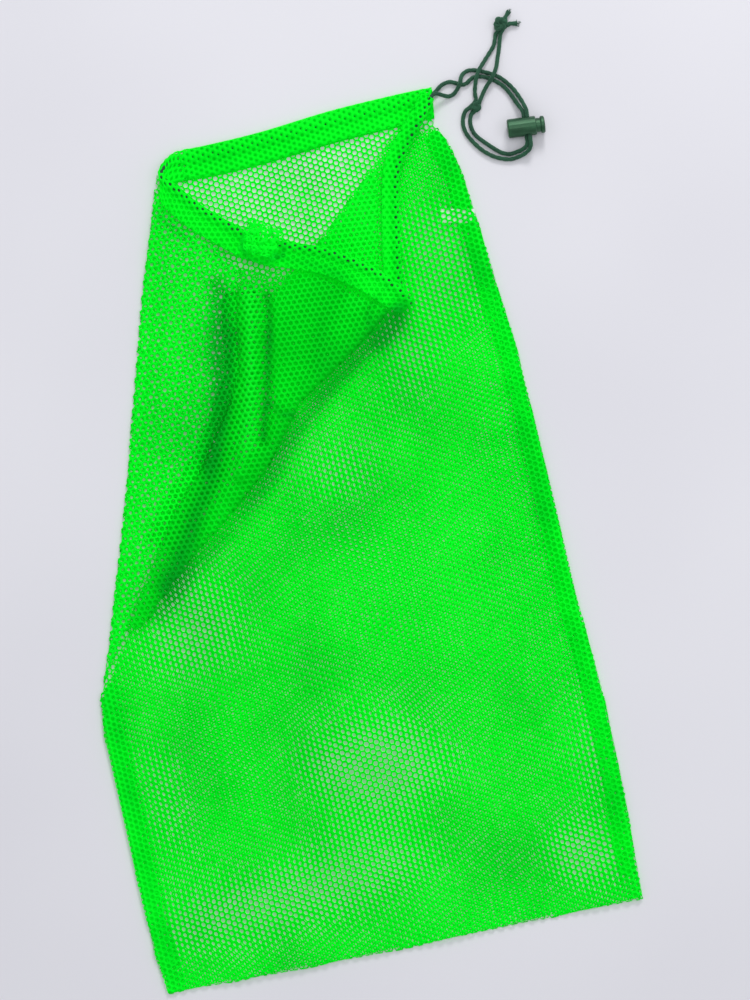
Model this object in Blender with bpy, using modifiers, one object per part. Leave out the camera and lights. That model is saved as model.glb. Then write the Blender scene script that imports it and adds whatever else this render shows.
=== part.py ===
"""Mesh laundry bag: a drawstring net bag lying flat, its mouth half open and its upper left part folded over.

Frame: metres, +Z up. The bag lies on z = 0 with its length along +Y, the bottom fold at low Y and the mouth
at high Y. The origin is below the middle of the bag. Places in the lists are in millimetres.
"""

import math

import bmesh
import bpy
import numpy as np
from mathutils import Matrix, Vector

MM = 0.001

# Driving dimensions, in millimetres
SHEET = 1.0  # thickness of one layer of net
SEAM_WIDTH = 14.0  # seam allowance, turned inside the bag
SEAM_LIFT = 1.8  # middle of the seam allowance above the table
HEM_TAIL = 17.0  # from the drawcord's centre to the hem's inner edge
BACK_HEM_TAIL = 20.8  # the same on the back hem, with the lip
TURNBACK_TAIL = 11.5  # the same on the turned-back stretch, which lies rolled
TURNBACK_END_TAIL = 8.0  # and where that stretch ends at the mouth corner
HEM_WALL = 0.9
HEM_ROLL = 2.5  # mid-wall radius of the hem round the drawcord
HEM_LIP = 4.6  # how far the back hem's fold reaches past its drawcord
LIP_RISE = 2  # stations over which the lip grows from nothing at the mouth corner
CORD = 3.2  # drawcord diameter
THREAD = 0.7
GAP = 0.4
HEM_END_GAP = 0.7  # at each end of a stretch of hem, where it meets the next at an angle
LAYER_STEP = 1.9  # between the middles of the front panel and of the pleat layer that lies on it
BARREL_LENGTH = 21.4
BARREL_RADIUS = 7.2
BORE_RADIUS = 5.7
BLIND_WALL = 2.2
CORD_HOLE_RADIUS = 3.8
CORD_HOLE_AT = 14.5  # from the barrel's closed end
PLUNGER_RADIUS = 5.3
PLUNGER_END = 9.3  # inner end of the plunger, from the barrel's closed end
PLUNGER_TRAVEL = 3.0
HEAD_RADIUS = 6.5
HEAD_LENGTH = 3.0
HEAD_END = 28.0
SPRING_RADIUS = 3.6
SPRING_WIRE = 0.8
SPRING_TURNS = 3.5
LOCK_END = (211.3, 270.0, 7.3)  # centre of the barrel's closed end
LOCK_ANGLE = math.radians(-5.3)  # the barrel's axis from +X
KNOT_MID = (192.6, 292.4, 3.4)
KNOT_END = (223.9, 348.9, 4.3)

# Outlines, bottom to top
BOTTOM_EDGE = [(-181.2, -303.4), (-90, -307.4), (0, -310.4), (90, -311.8), (178.8, -314.4)]
RIGHT_EDGE = [
    (178.8, -314.4), (183.4, -235), (185.2, -164), (181.9, -80), (182.1, -12), (181.5, 68),
    (181.0, 112), (178.0, 146), (174.6, 200), (170.2, 250), (165.5, 287),
]
LOWER_LEFT = [
    (-181.2, -303.4), (-184.6, -276), (-185.2, -234), (-185.0, -157), (-185.3, -105), (-182.4, -80),
]
LEFT_FOLD = [(-165.9, -37), (-131.2, 63), (-108.6, 135), (-86.0, 207), (-63, 270), (-58.5, 284)]
SEAM_LINE = [
    (-152, -34), (-135.4, -7.9), (-95, 46.7), (-69, 72.3), (-40, 112), (-25.4, 138.4),
    (-20.8, 168), (-14.5, 195), (-8, 212),
]
PLEAT_FOLD = [
    (-143, -23), (-118, 2), (-84, 30), (-50, 59), (-23, 82), (-4, 106), (-2, 140), (6, 185),
    (55, 220), (92, 253),
]
DIAGONAL_FOLD = [
    (-134, -30), (-124.4, -20.4), (-91.6, 8.2), (-53.9, 34.9), (-19.8, 62.4), (12.6, 102.7), (61.7, 132.1),
]

# Heights of the layers' middles above the table
FRONT_HEIGHTS = [
    (-181, -303, 2.2), (-90, -307, 2.2), (0, -310, 2.2), (90, -311.5, 2.2), (179, -313, 2.2),
    (180, -295, 3.4), (183, -230, 3.4), (185, -164, 3.4), (182, -12, 3.4), (181, 68, 3.4),
    (178, 146, 3.4), (172, 215, 4.5), (168, 255, 3.6), (166, 284, 3.6),
    (-183, -286, 3.4), (-185, -234, 3.4), (-185, -157, 3.4), (-185, -95, 3.4), (-182, -80, 3.3),
    (-169, -61, 3.5), (-143, -23, 4.3), (-118, 2, 5), (-84, 30, 5.8), (-50, 59, 6.4), (-23, 82, 6.9),
    (-4, 106, 7.2), (-2, 140, 7.2), (6, 185, 7.2), (55, 220, 7.0), (92, 253, 6.6), (124, 284, 6.0),
    (0, -150, 11), (0, -240, 9.5), (-110, -150, 9.5), (115, -150, 9.5), (0, -40, 10.5), (100, -30, 9.5),
    (-90, -60, 8.6), (50, 70, 9), (120, 60, 8.4), (60, 150, 7.6), (120, 150, 7.2), (110, 220, 7.0),
    (142, 250, 5.8),
]
SEAM_HEIGHTS = [
    (-152, -34, 5.0), (-135.4, -7.9, 6.5), (-95, 46.7, 8.0), (-69, 72.3, 9.0), (-40, 112, 9.8),
    (-25.4, 138.4, 10.5), (-20.8, 168, 11.5), (-14.5, 195, 12.3), (-8, 212, 12.4),
]
WRAP_HEIGHTS = [
    (-165.9, -37, 2.0), (-131.2, 63, 2.0), (-108.6, 135, 2.0), (-86, 207, 2.2), (-63, 270, 5.2),
    (-57, 268, 7.2), (-41.6, 250.3, 8.5), (-22.5, 232.8, 9.6),
    (-115, 45, 6.4), (-85, 110, 7.6), (-60, 170, 8.4), (-62, 225, 7.4), (-35, 205, 10.2),
]
FLAP_HEIGHTS = [
    (-124.4, -20.4, 8.6), (-91.6, 8.2, 9.6), (-53.9, 34.9, 10.4), (-19.8, 62.4, 11.3), (12.6, 102.7, 12.2),
    (61.7, 132.1, 12.8), (96, 157.5, 18.6), (84, 166, 20.4), (74, 174, 19.2), (50, 192, 16.8),
    (24, 203.5, 13.9), (30, 150, 13.6), (0, 120, 12.2),
]

# Drawcord: the mouth corner, the back hem, round the left corner, the folded-over hem, the side seam, the
# raised hem, down round the front corner, and the turned-back hem to the mouth corner again.
DRAWCORD_ROUTE = [
    (162.3, 309.2, 3.2), (134, 307.0, 3.1), (84, 306.2, 3.1), (30, 302.6, 3.1), (-14, 302.0, 3.1),
    (-32, 303.0, 3.3), (-41.5, 302.4, 4.4), (-47.8, 299.4, 6.2), (-50.4, 294.0, 8.0), (-47.6, 288.0, 9.3),
    (-41.6, 281, 10), (-28.2, 263.8, 10.6), (-9.8, 246, 11.5), (2, 235.5, 12.6), (14.5, 227, 14),
    (31.4, 220, 15.8), (59, 208, 19), (84.5, 189.5, 22), (98, 176, 23.8), (104.3, 167.5, 23.6),
    (107.8, 161.2, 21.8), (109.6, 157.3, 18.4), (109.3, 157.6, 15.0), (107.6, 162, 12.5),
    (106.0, 169.5, 11.7), (106.3, 181, 11.6), (112.6, 214.3, 11.2), (121.8, 254.8, 10.8),
    (131.8, 272, 10.5), (145.5, 288, 10.2), (160.3, 305.8, 9.8),
]
# Stretches of the hem, as the first and last place of the drawcord's route
BACK_HEM, LEFT_CORNER, WRAP_HEM = (0, 5), (5, 10), (10, 13)
JUNCTION, FLAP_HEM, FRONT_CORNER, TURNBACK_HEM = (13, 14), (14, 18), (18, 24), (24, 30)

# Free strands, from the mouth corner to the middle knot and on to the end knot
STRAND_A = [
    (161.6, 307.4, 9.7), (164.8, 308.2, 8.6), (169.0, 306.6, 5.2), (173.5, 304.9, 2.5), (177.6, 305.6, 1.8),
    (181.4, 308.6, 3.2), (184.3, 312.2, 5.4), (186.0, 316.4, 3.6), (189.0, 319.7, 1.8), (193.4, 320.8, 1.7),
    (198.9, 319.5, 1.7), (204.4, 317.0, 1.7), (210.6, 313.6, 1.7), (216.4, 308.7, 1.7), (222.4, 300.1, 2.2),
    (226.2, 290.2, 4.8), (227.6, 284.0, 7.2), (228.1, 280.6, 8.5), (227.0, 268.6, 8.55), (225.9, 256.6, 8.5),
    (224.6, 252.4, 7.0), (220.6, 249.7, 4.4), (215.7, 248.5, 2.4), (209.0, 248.0, 1.7), (202.8, 249.8, 1.7),
    (195.7, 253.7, 1.7), (188.3, 260.9, 1.7), (181.8, 271.5, 1.7), (179.7, 279.9, 1.7), (181.0, 287.0, 1.9),
    (184.0, 291.4, 2.6), (187.2, 292.8, 3.1),
]
STRAND_B = [
    (163.8, 309.6, 3.2), (167.0, 312.0, 2.6), (170.8, 314.6, 1.8), (176.9, 315.6, 1.7), (181.5, 313.6, 1.7),
    (184.5, 311.8, 1.7), (187.2, 311.2, 1.7), (189.8, 311.8, 1.7), (192.0, 313.4, 1.7), (194.6, 314.7, 1.7),
    (198.0, 314.8, 1.7), (202.6, 313.8, 1.7), (206.8, 311.6, 1.7), (211.9, 307.6, 1.7), (216.3, 302.7, 1.7),
    (220.0, 295.6, 2.0), (223.2, 287.0, 3.8), (225.0, 282.4, 5.6), (225.6, 280.6, 6.05), (224.5, 268.6, 6.05),
    (223.4, 256.8, 6.05), (221.8, 254.3, 5.0), (218.3, 252.9, 3.0), (214.1, 252.3, 1.9), (209.2, 251.9, 1.7),
    (204.4, 253.7, 1.7), (200.3, 256.8, 1.7), (193.1, 264.3, 1.7), (187.0, 271.9, 1.7), (185.2, 278.7, 1.7),
    (186.0, 285.0, 1.7), (188.9, 289.4, 1.7),
]
STRAND_A_END = [
    (193.3, 297.2, 1.9), (193.6, 300.8, 1.8), (194.2, 304.9, 2.8), (196.0, 310.5, 4.9), (198.0, 314.8, 5.7),
    (200.6, 318.9, 5.5), (204.7, 323.4, 3.5), (210.8, 329.7, 1.8), (215.6, 334.8, 1.7), (218.0, 340.2, 1.7),
    (219.6, 344.2, 1.9),
]
STRAND_B_END = [
    (196.0, 296.2, 4.6), (198.6, 299.8, 3.4), (202.4, 304.7, 3.4), (208.3, 310.4, 5.5), (212.0, 315.2, 5.7),
    (214.4, 319.6, 4.6), (216.4, 325.0, 2.8), (219.2, 332.0, 1.8), (221.2, 338.4, 2.4), (222.8, 342.8, 3.9),
]
TAIL_A = [(228.2, 352.9, 3.2), (230.6, 355.4, 2.4), (232.6, 357.6, 1.8)]
TAIL_B = [(230.4, 348.6, 2.6), (233.6, 348.1, 2.0), (236.8, 347.3, 1.8)]

NET_GREEN = (0.01, 0.78, 0.02)
THREAD_GREEN = (0.02, 0.62, 0.04)
CORD_GREEN = (0.03, 0.12, 0.07)
LOCK_GREEN = (0.03, 0.07, 0.05)
LABEL_WHITE = (0.8, 0.85, 0.8)
STEEL = (0.6, 0.6, 0.62)


def clear_scene():
    for obj in list(bpy.data.objects):
        bpy.data.objects.remove(obj, do_unlink=True)


def new_collection(name, hidden=False):
    collection = bpy.data.collections.new(name)
    collection.hide_render = hidden
    bpy.context.scene.collection.children.link(collection)
    return collection


def set_material(obj, colour, roughness, metallic=0.0):
    """Gives the object its own Principled material."""
    material = bpy.data.materials.new(obj.name)
    material.use_nodes = True
    shader = material.node_tree.nodes["Principled BSDF"]
    shader.inputs["Base Color"].default_value = (*colour, 1.0)
    shader.inputs["Roughness"].default_value = roughness
    shader.inputs["Metallic"].default_value = metallic
    obj.data.materials.append(material)


def smooth_spans(points, spacing):
    """A Catmull-Rom curve through the points, and where in it each given point comes."""
    given = [Vector(p) for p in points]
    ends = [given[0] * 2 - given[1], *given, given[-1] * 2 - given[-2]]
    curve, places = [given[0]], [0]
    for before, start, end, after in zip(ends, ends[1:], ends[2:], ends[3:]):
        count = max(1, round((end - start).length / spacing))
        for step in range(1, count + 1):
            t = step / count
            curve.append(
                (
                    start * 2
                    + (end - before) * t
                    + (before * 2 - start * 5 + end * 4 - after) * t**2
                    + (start * 3 - before - end * 3 + after) * t**3
                )
                * 0.5
            )
        places.append(len(curve) - 1)
    return curve, places


def along(points, count):
    """Count places, evenly spaced by length, on the smooth curve through the points."""
    curve, _ = smooth_spans(points, 2.0)
    flat = np.array([tuple(p) for p in curve])
    length = np.concatenate([[0], np.cumsum(np.linalg.norm(np.diff(flat, axis=0), axis=1))])
    wanted = np.linspace(0, length[-1], count)
    return np.column_stack([np.interp(wanted, length, flat[:, i]) for i in range(flat.shape[1])])


def height_field(places):
    """The thin-plate surface through places of (x, y, height), as a function of an array of x and y."""
    places = np.array(places, float)
    count = len(places)

    def bend(offsets):
        squared = (offsets**2).sum(axis=-1)
        return 0.5 * squared * np.log(squared + 1e-9)

    system = np.zeros((count + 3, count + 3))
    system[:count, :count] = bend(places[:, None, :2] - places[None, :, :2])
    system[:count, count] = 1
    system[:count, count + 1 :] = places[:, :2]
    system[count:, :count] = system[:count, count:].T
    weights = np.linalg.solve(system, np.append(places[:, 2], [0, 0, 0]))

    def height(where):
        spread = bend(where[..., None, :] - places[:, :2])
        return spread @ weights[:count] + weights[count] + where @ weights[count + 1 :]

    return height


def patch(left, right, bottom, top, columns, rows):
    """A grid of (x, y) that fills the four smooth sides: a Coons patch."""
    left, right = along(left, rows), along(right, rows)
    bottom, top = along(bottom, columns), along(top, columns)
    u = np.linspace(0, 1, columns)[None, :, None]
    v = np.linspace(0, 1, rows)[:, None, None]
    across = (1 - u) * left[:, None] + u * right[:, None]
    upward = (1 - v) * bottom[None] + v * top[None]
    corners = (1 - v) * ((1 - u) * left[0] + u * right[0]) + v * ((1 - u) * left[-1] + u * right[-1])
    return across + upward - corners


def mesh_object(name, collection, grid):
    """An open surface over a grid of (x, y, z) in millimetres."""
    rows, columns = grid.shape[:2]
    mesh = bpy.data.meshes.new(name)
    shape = bmesh.new()
    corners = [[shape.verts.new(Vector(p) * MM) for p in row] for row in grid]
    for i in range(rows - 1):
        for j in range(columns - 1):
            shape.faces.new((corners[i][j], corners[i][j + 1], corners[i + 1][j + 1], corners[i + 1][j]))
    shape.to_mesh(mesh)
    shape.free()
    mesh.shade_smooth()
    obj = bpy.data.objects.new(name, mesh)
    collection.objects.link(obj)
    return obj


def thicken(obj, thickness):
    """Gives an open surface its thickness, half to each side."""
    solidify = obj.modifiers.new("thickness", "SOLIDIFY")
    solidify.thickness = thickness * MM
    solidify.offset = 0
    return obj


def sheet(name, collection, outline, height, columns, rows, thickness=SHEET, colour=NET_GREEN):
    """A layer of cloth that fills an outline of (left, right, bottom, top) at the given height."""
    flat = patch(*outline, columns, rows)
    grid = np.dstack([flat, height(flat)])
    obj = thicken(mesh_object(name, collection, grid), thickness)
    set_material(obj, colour, 0.55)
    return obj


def tube(name, collection, route, diameter, colour, roughness, sides=2):
    """A round cord or thread along a route of points in millimetres."""
    curve = bpy.data.curves.new(name, "CURVE")
    curve.dimensions = "3D"
    curve.bevel_depth = diameter * MM / 2
    curve.bevel_resolution = sides
    curve.use_fill_caps = True
    spline = curve.splines.new("POLY")
    spline.points.add(len(route) - 1)
    for point, place in zip(spline.points, route):
        point.co = (*(Vector(place) * MM), 1)
    obj = bpy.data.objects.new(name, curve)
    collection.objects.link(obj)
    set_material(obj, colour, roughness)
    return obj


def stretch(curve, places, span):
    """The part of the drawcord's curve inside one stretch of hem, drawn in a little at each end."""
    part = [p.copy() for p in curve[places[span[0]] : places[span[1]] + 1]]
    part[0] += (part[1] - part[0]).normalized() * HEM_END_GAP
    part[-1] += (part[-2] - part[-1]).normalized() * HEM_END_GAP
    return part


def hem_profile(tail, wall_radius, lip):
    """The hem's fold round the cord, as (distance from the cord towards the net, height) at mid-wall."""
    half = wall_radius * math.sqrt(0.5)
    upper = 0.48 * wall_radius
    return [
        (tail, -wall_radius), (tail * 0.5, -wall_radius), (0, -wall_radius), (-half - lip * 0.7, -half),
        (-wall_radius - lip, 0), (-half - lip * 0.7, half), (0, wall_radius), (half, half),
        (2.08 * wall_radius, -upper), (tail, -upper),
    ]


def side_of(path, index, side):
    """The level direction square to the path, towards the net: side is +1 on the left and -1 on the right."""
    ahead = path[min(index + 1, len(path) - 1)] - path[max(index - 1, 0)]
    return Vector((-ahead.y, ahead.x, 0)).normalized() * side


def hem(name, collection, path, side, tails, wall_radius=HEM_ROLL, wall=HEM_WALL, full_lip=0):
    """A stretch of hem casing folded round the drawcord, its tail going from the first width to the last."""
    grid = []
    for i, centre in enumerate(path):
        inward = side_of(path, i, side)
        lip = full_lip * min(1, i / LIP_RISE)
        tail = tails[0] + (tails[1] - tails[0]) * i / (len(path) - 1) - lip
        profile = hem_profile(tail, wall_radius, lip)
        grid.append([centre + inward * away + Vector((0, 0, up)) for away, up in profile])
    obj = thicken(mesh_object(name, collection, np.array(grid)), wall)
    set_material(obj, NET_GREEN, 0.55)
    return obj


def hem_corner(name, collection, path):
    """The rolled hem round a corner, where only the roll round the drawcord keeps its shape."""
    obj = tube(name, collection, path, 2 * HEM_ROLL + HEM_WALL, NET_GREEN, 0.55)
    obj.data.use_fill_caps = False
    solidify = obj.modifiers.new("thickness", "SOLIDIFY")
    solidify.thickness = HEM_WALL * MM
    solidify.offset = -1
    return obj


def stitch_line(name, collection, path, side, tails):
    """The hem's line of stitches, lying on the tail near its inner edge."""
    route = []
    for i, centre in enumerate(path[::2] + path[-1:]):
        index = min(2 * i, len(path) - 1)
        tail = tails[0] + (tails[1] - tails[0]) * index / (len(path) - 1)
        lift = -0.48 * HEM_ROLL + HEM_WALL / 2 + THREAD / 2 + GAP
        route.append(centre + side_of(path, index, side) * (tail - 2.5) + Vector((0, 0, lift)))
    if (route[-1] - route[-2]).length < 2:
        route.pop(-2)
    return tube(name, collection, route, THREAD, THREAD_GREEN, 0.6, sides=0)


def strip(edge, offsets, height, count):
    """A grid beside an edge of (x, y), between two level offsets to its left, at the given height."""
    line = [Vector((*p, 0)) for p in along(edge, count)]
    sides = [side_of(line, i, 1).to_2d() for i in range(count)]
    flat = np.array([[tuple(p.to_2d() + s * offset) for offset in offsets] for p, s in zip(line, sides)])
    return np.dstack([flat, height(flat)])


def ellipsoid(name, collection, centre, half_sizes, turn, colour):
    mesh = bpy.data.meshes.new(name)
    shape = bmesh.new()
    bmesh.ops.create_uvsphere(shape, u_segments=16, v_segments=9, radius=1)
    bmesh.ops.scale(shape, vec=Vector(half_sizes) * MM, verts=shape.verts)
    shape.to_mesh(mesh)
    shape.free()
    mesh.shade_smooth()
    obj = bpy.data.objects.new(name, mesh)
    obj.location = Vector(centre) * MM
    obj.rotation_euler.z = turn
    collection.objects.link(obj)
    set_material(obj, colour, 0.8)
    return obj


def lathe(name, collection, profile):
    """A turned solid on the local X axis, from a profile of (distance along, radius)."""
    mesh = bpy.data.meshes.new(name)
    shape = bmesh.new()
    corners = [shape.verts.new((radius * MM, 0, place * MM)) for place, radius in reversed(profile)]
    for start, end in zip(corners, corners[1:]):
        shape.edges.new((start, end))
    shape.to_mesh(mesh)
    shape.free()
    mesh.transform(Matrix.Rotation(math.radians(90), 4, "Y"))
    obj = bpy.data.objects.new(name, mesh)
    collection.objects.link(obj)
    screw = obj.modifiers.new("turn", "SCREW")
    screw.axis = "X"
    screw.steps = screw.render_steps = 32
    screw.use_merge_vertices = True
    screw.merge_threshold = 0.00001
    screw.use_normal_calculate = True
    return obj


def place_on_lock(obj):
    obj.location = Vector(LOCK_END) * MM
    obj.rotation_euler.z = LOCK_ANGLE
    return obj


def cylinder_cutter(name, collection, radius, half_length, along_x, stretch_x):
    """A round or long-holed cutter across the barrel, centred at the place along the barrel's axis."""
    bpy.ops.mesh.primitive_cylinder_add(vertices=28, radius=radius * MM, depth=2 * half_length * MM)
    cutter = bpy.context.object
    cutter.name = name
    cutter.data.transform(Matrix.Rotation(math.radians(90), 4, "X"))
    for corner in cutter.data.vertices:
        corner.co.x += (along_x + math.copysign(stretch_x / 2, corner.co.x)) * MM
    for owner in cutter.users_collection:
        owner.objects.unlink(cutter)
    collection.objects.link(cutter)
    cutter.hide_render = True
    cutter.display_type = "WIRE"
    return place_on_lock(cutter)


def cut(obj, cutter):
    boolean = obj.modifiers.new("hole", "BOOLEAN")
    boolean.operation = "DIFFERENCE"
    boolean.object = cutter
    boolean.solver = "EXACT"


def cord_lock(parts, cutters):
    """The spring-loaded barrel lock that both strands run through."""
    barrel = lathe(
        "cord_lock_barrel", parts,
        [
            (0, 0), (0, BARREL_RADIUS - 0.8), (0.8, BARREL_RADIUS), (BARREL_LENGTH - 0.5, BARREL_RADIUS),
            (BARREL_LENGTH, BARREL_RADIUS - 0.5), (BARREL_LENGTH, BORE_RADIUS), (BLIND_WALL, BORE_RADIUS),
            (BLIND_WALL, 0),
        ],
    )
    place_on_lock(barrel)
    cut(barrel, cylinder_cutter("cord_hole", cutters, CORD_HOLE_RADIUS, 12, CORD_HOLE_AT, 0))
    set_material(barrel, LOCK_GREEN, 0.45)
    neck = HEAD_END - HEAD_LENGTH
    plunger = lathe(
        "cord_lock_plunger", parts,
        [
            (PLUNGER_END, 0), (PLUNGER_END, PLUNGER_RADIUS - 0.5), (PLUNGER_END + 0.5, PLUNGER_RADIUS),
            (neck - 0.3, PLUNGER_RADIUS), (neck, HEAD_RADIUS - 0.4), (neck + 0.6, HEAD_RADIUS),
            (HEAD_END - 0.7, HEAD_RADIUS), (HEAD_END, HEAD_RADIUS - 0.8), (HEAD_END, 0),
        ],
    )
    place_on_lock(plunger)
    slot_middle = CORD_HOLE_AT + PLUNGER_TRAVEL / 2
    cut(plunger, cylinder_cutter("cord_slot", cutters, CORD_HOLE_RADIUS, 12, slot_middle, PLUNGER_TRAVEL))
    set_material(plunger, LOCK_GREEN, 0.45)
    start = BLIND_WALL + GAP + SPRING_WIRE / 2
    end = PLUNGER_END - GAP - SPRING_WIRE / 2
    steps = round(SPRING_TURNS * 12)
    coil = []
    for i in range(steps + 1):
        turned = 2 * math.pi * SPRING_TURNS * i / steps
        place = start + (end - start) * i / steps
        coil.append((place, SPRING_RADIUS * math.cos(turned), SPRING_RADIUS * math.sin(turned)))
    spring = tube("cord_lock_spring", parts, coil, SPRING_WIRE, STEEL, 0.3, sides=1)
    spring.data.materials.clear()
    set_material(spring, STEEL, 0.3, metallic=1.0)
    place_on_lock(spring)


def net_panels(parts):
    """The net's five areas, each a layer of the lie."""
    front_height = height_field(FRONT_HEIGHTS)
    wrap_height = height_field(WRAP_HEIGHTS + SEAM_HEIGHTS)
    flap_height = height_field(FLAP_HEIGHTS + SEAM_HEIGHTS)
    left_side = LOWER_LEFT + LEFT_FOLD
    top_of_back = [(-58.5, 284), (-17, 284.6), (30, 284.9), (84, 288.4), (165.5, 287)]
    sheet(
        "back_panel", parts, (left_side, RIGHT_EDGE, BOTTOM_EDGE, top_of_back),
        lambda flat: np.full(flat.shape[:2], SHEET / 2), 8, 18,
    )
    front_right = RIGHT_EDGE[:-1] + [(166, 284)]
    front_left = LOWER_LEFT + [(-169, -61)] + PLEAT_FOLD + [(124.5, 284)]
    sheet(
        "front_panel", parts, (front_left, front_right, BOTTOM_EDGE, [(124.5, 284), (166, 284)]),
        front_height, 11, 26,
    )
    turnback_right = DIAGONAL_FOLD + [(87, 150), (93, 181), (99.5, 217), (108.5, 258)]
    turnback_left = PLEAT_FOLD + [(103, 263)]
    sheet(
        "front_panel_turnback", parts,
        (turnback_left, turnback_right, [(-143, -23), (-134, -30)], [(103, 263), (108.5, 258)]),
        lambda flat: front_height(flat) + LAYER_STEP, 6, 22,
    )
    flap_top = [(-8, 212), (24, 203), (49.5, 191), (72, 172.5), (94.5, 155.5)]
    flap_left = [(-147, -27)] + SEAM_LINE[1:]
    flap_right = [(-138, -33)] + DIAGONAL_FOLD[1:] + [(94.5, 155.5)]
    sheet(
        "front_flap", parts, (flap_left, flap_right, [(-147, -27), (-138, -33)], flap_top),
        lambda flat: np.maximum(flap_height(flat), front_height(flat) + 2 * LAYER_STEP), 7, 20,
    )
    seam_side = [(x - 0.8, y) for x, y in SEAM_LINE]
    wrap_top = [(-63, 270), (-56, 267.2), (-41.6, 250.3), (-22.5, 232.8), (-8.8, 212)]
    sheet(
        "back_panel_wrap", parts, (LEFT_FOLD[:-1], seam_side, [(-165.9, -37), (-152.8, -34)], wrap_top),
        wrap_height, 6, 18,
    )
    return front_height, wrap_height


def seams(parts, front_height, wrap_height):
    """The seam allowances inside the bag, each with its overlock thread along the edge."""
    def between(flat):
        return np.full(flat.shape[:2], SEAM_LIFT)

    def label_height(flat):
        return front_height(flat) - SHEET / 2 - GAP - 0.2

    right = [(179.4, -294), (183.1, -235), (185.0, -164), *RIGHT_EDGE[3:-1], (167.5, 284)]
    lower_left = [(-183.4, -284), (-184.9, -234), (-184.6, -157), (-184.8, -105)]
    upper = [(-112, 24)] + SEAM_LINE[2:]
    allowances = {
        "right_side_seam": strip(right, (0.8, SEAM_WIDTH), between, 22),
        "left_side_seam": strip(lower_left, (-SEAM_WIDTH, -0.8), between, 8),
        "left_side_seam_upper": strip(upper, (-5.0, 5.0), lambda flat: wrap_height(flat) - 2.0, 14),
    }
    for name, grid in allowances.items():
        set_material(thicken(mesh_object(name, parts, grid), SHEET), NET_GREEN, 0.55)
    threads = {
        "right_seam_thread": strip(right, (SEAM_WIDTH + 1,), between, 24),
        "left_seam_thread": strip(lower_left, (-SEAM_WIDTH - 1,), between, 9),
    }
    for name, grid in threads.items():
        tube(name, parts, [tuple(row[0]) for row in grid], THREAD, THREAD_GREEN, 0.6, sides=0)
    label = strip([(172.0, 208.6), (174.4, 219.0)], (0, 10, 19, 26.5), label_height, 3)
    set_material(thicken(mesh_object("care_label", parts, label), 0.4), LABEL_WHITE, 0.7)


def hems(parts):
    """The casing round the mouth, its stitches, and the drawcord inside it."""
    curve, places = smooth_spans(DRAWCORD_ROUTE, 13.0)
    tube("drawcord", parts, curve, CORD, CORD_GREEN, 0.8)
    full = (HEM_TAIL, HEM_TAIL)
    rolled = (TURNBACK_TAIL, TURNBACK_END_TAIL)
    back, wrap = stretch(curve, places, BACK_HEM), stretch(curve, places, WRAP_HEM)
    flap, turnback = stretch(curve, places, FLAP_HEM), stretch(curve, places, TURNBACK_HEM)
    wide = (BACK_HEM_TAIL, BACK_HEM_TAIL)
    hem("hem_back", parts, back, 1, wide, full_lip=HEM_LIP)
    hem_corner("hem_corner_left", parts, stretch(curve, places, LEFT_CORNER))
    hem("hem_wrap", parts, wrap, -1, full)
    hem("seam_junction", parts, stretch(curve, places, JUNCTION), -1, (14, 14), wall_radius=3.6, wall=2.2)
    hem("hem_flap", parts, flap, -1, full)
    hem_corner("hem_corner_front", parts, stretch(curve, places, FRONT_CORNER))
    hem("hem_turnback", parts, turnback, 1, rolled)
    stitch_line("hem_stitch_back", parts, back, 1, (BACK_HEM_TAIL - HEM_LIP, BACK_HEM_TAIL - HEM_LIP))
    stitch_line("hem_stitch_wrap", parts, wrap, -1, full)
    stitch_line("hem_stitch_flap", parts, flap, -1, full)
    stitch_line("hem_stitch_turnback", parts, turnback, 1, rolled)
    bpy.ops.mesh.primitive_cube_add(size=1)
    tack = bpy.context.object
    tack.name = "mouth_bar_tack"
    tack.data.transform(Matrix.Diagonal((2.0 * MM, 8.0 * MM, 9.0 * MM, 1)))
    tack.location = Vector((165.9, 299.5, 5.0)) * MM
    bevel = tack.modifiers.new("round", "BEVEL")
    bevel.width = 0.7 * MM
    bevel.segments = 2
    for owner in tack.users_collection:
        owner.objects.unlink(tack)
    parts.objects.link(tack)
    set_material(tack, THREAD_GREEN, 0.6)


def free_cord(parts):
    """The two strands outside the casing, their knots and their loose ends."""
    strands = {
        "cord_strand_a": STRAND_A, "cord_strand_b": STRAND_B,
        "cord_end_a": STRAND_A_END, "cord_end_b": STRAND_B_END,
        "cord_tail_a": TAIL_A, "cord_tail_b": TAIL_B,
    }
    for name, route in strands.items():
        tube(name, parts, smooth_spans(route, 6.0)[0], CORD, CORD_GREEN, 0.8)
    ellipsoid("mid_knot", parts, KNOT_MID, (4.3, 4.3, 3.2), 0, CORD_GREEN)
    ellipsoid("end_knot", parts, KNOT_END, (6.0, 4.5, 4.1), math.radians(20), CORD_GREEN)


def main():
    clear_scene()
    parts = new_collection("mesh_laundry_bag")
    cutters = new_collection("cutters", hidden=True)
    front_height, wrap_height = net_panels(parts)
    seams(parts, front_height, wrap_height)
    hems(parts)
    free_cord(parts)
    cord_lock(parts, cutters)


main()
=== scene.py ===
"""Looks of the mesh laundry bag: real net in every layer, hem casings, seams, braided cord, knots and cord lock.

Places and sizes in the lists are millimetres in the row frame, and MM turns them into the scene's metres. A cloth
is described by where each point of its flat lattice comes to lie, so its holes, strands and edges are all geometry.
"""

import math

import bpy
import numpy as np
from mathutils import Matrix, Vector


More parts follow.
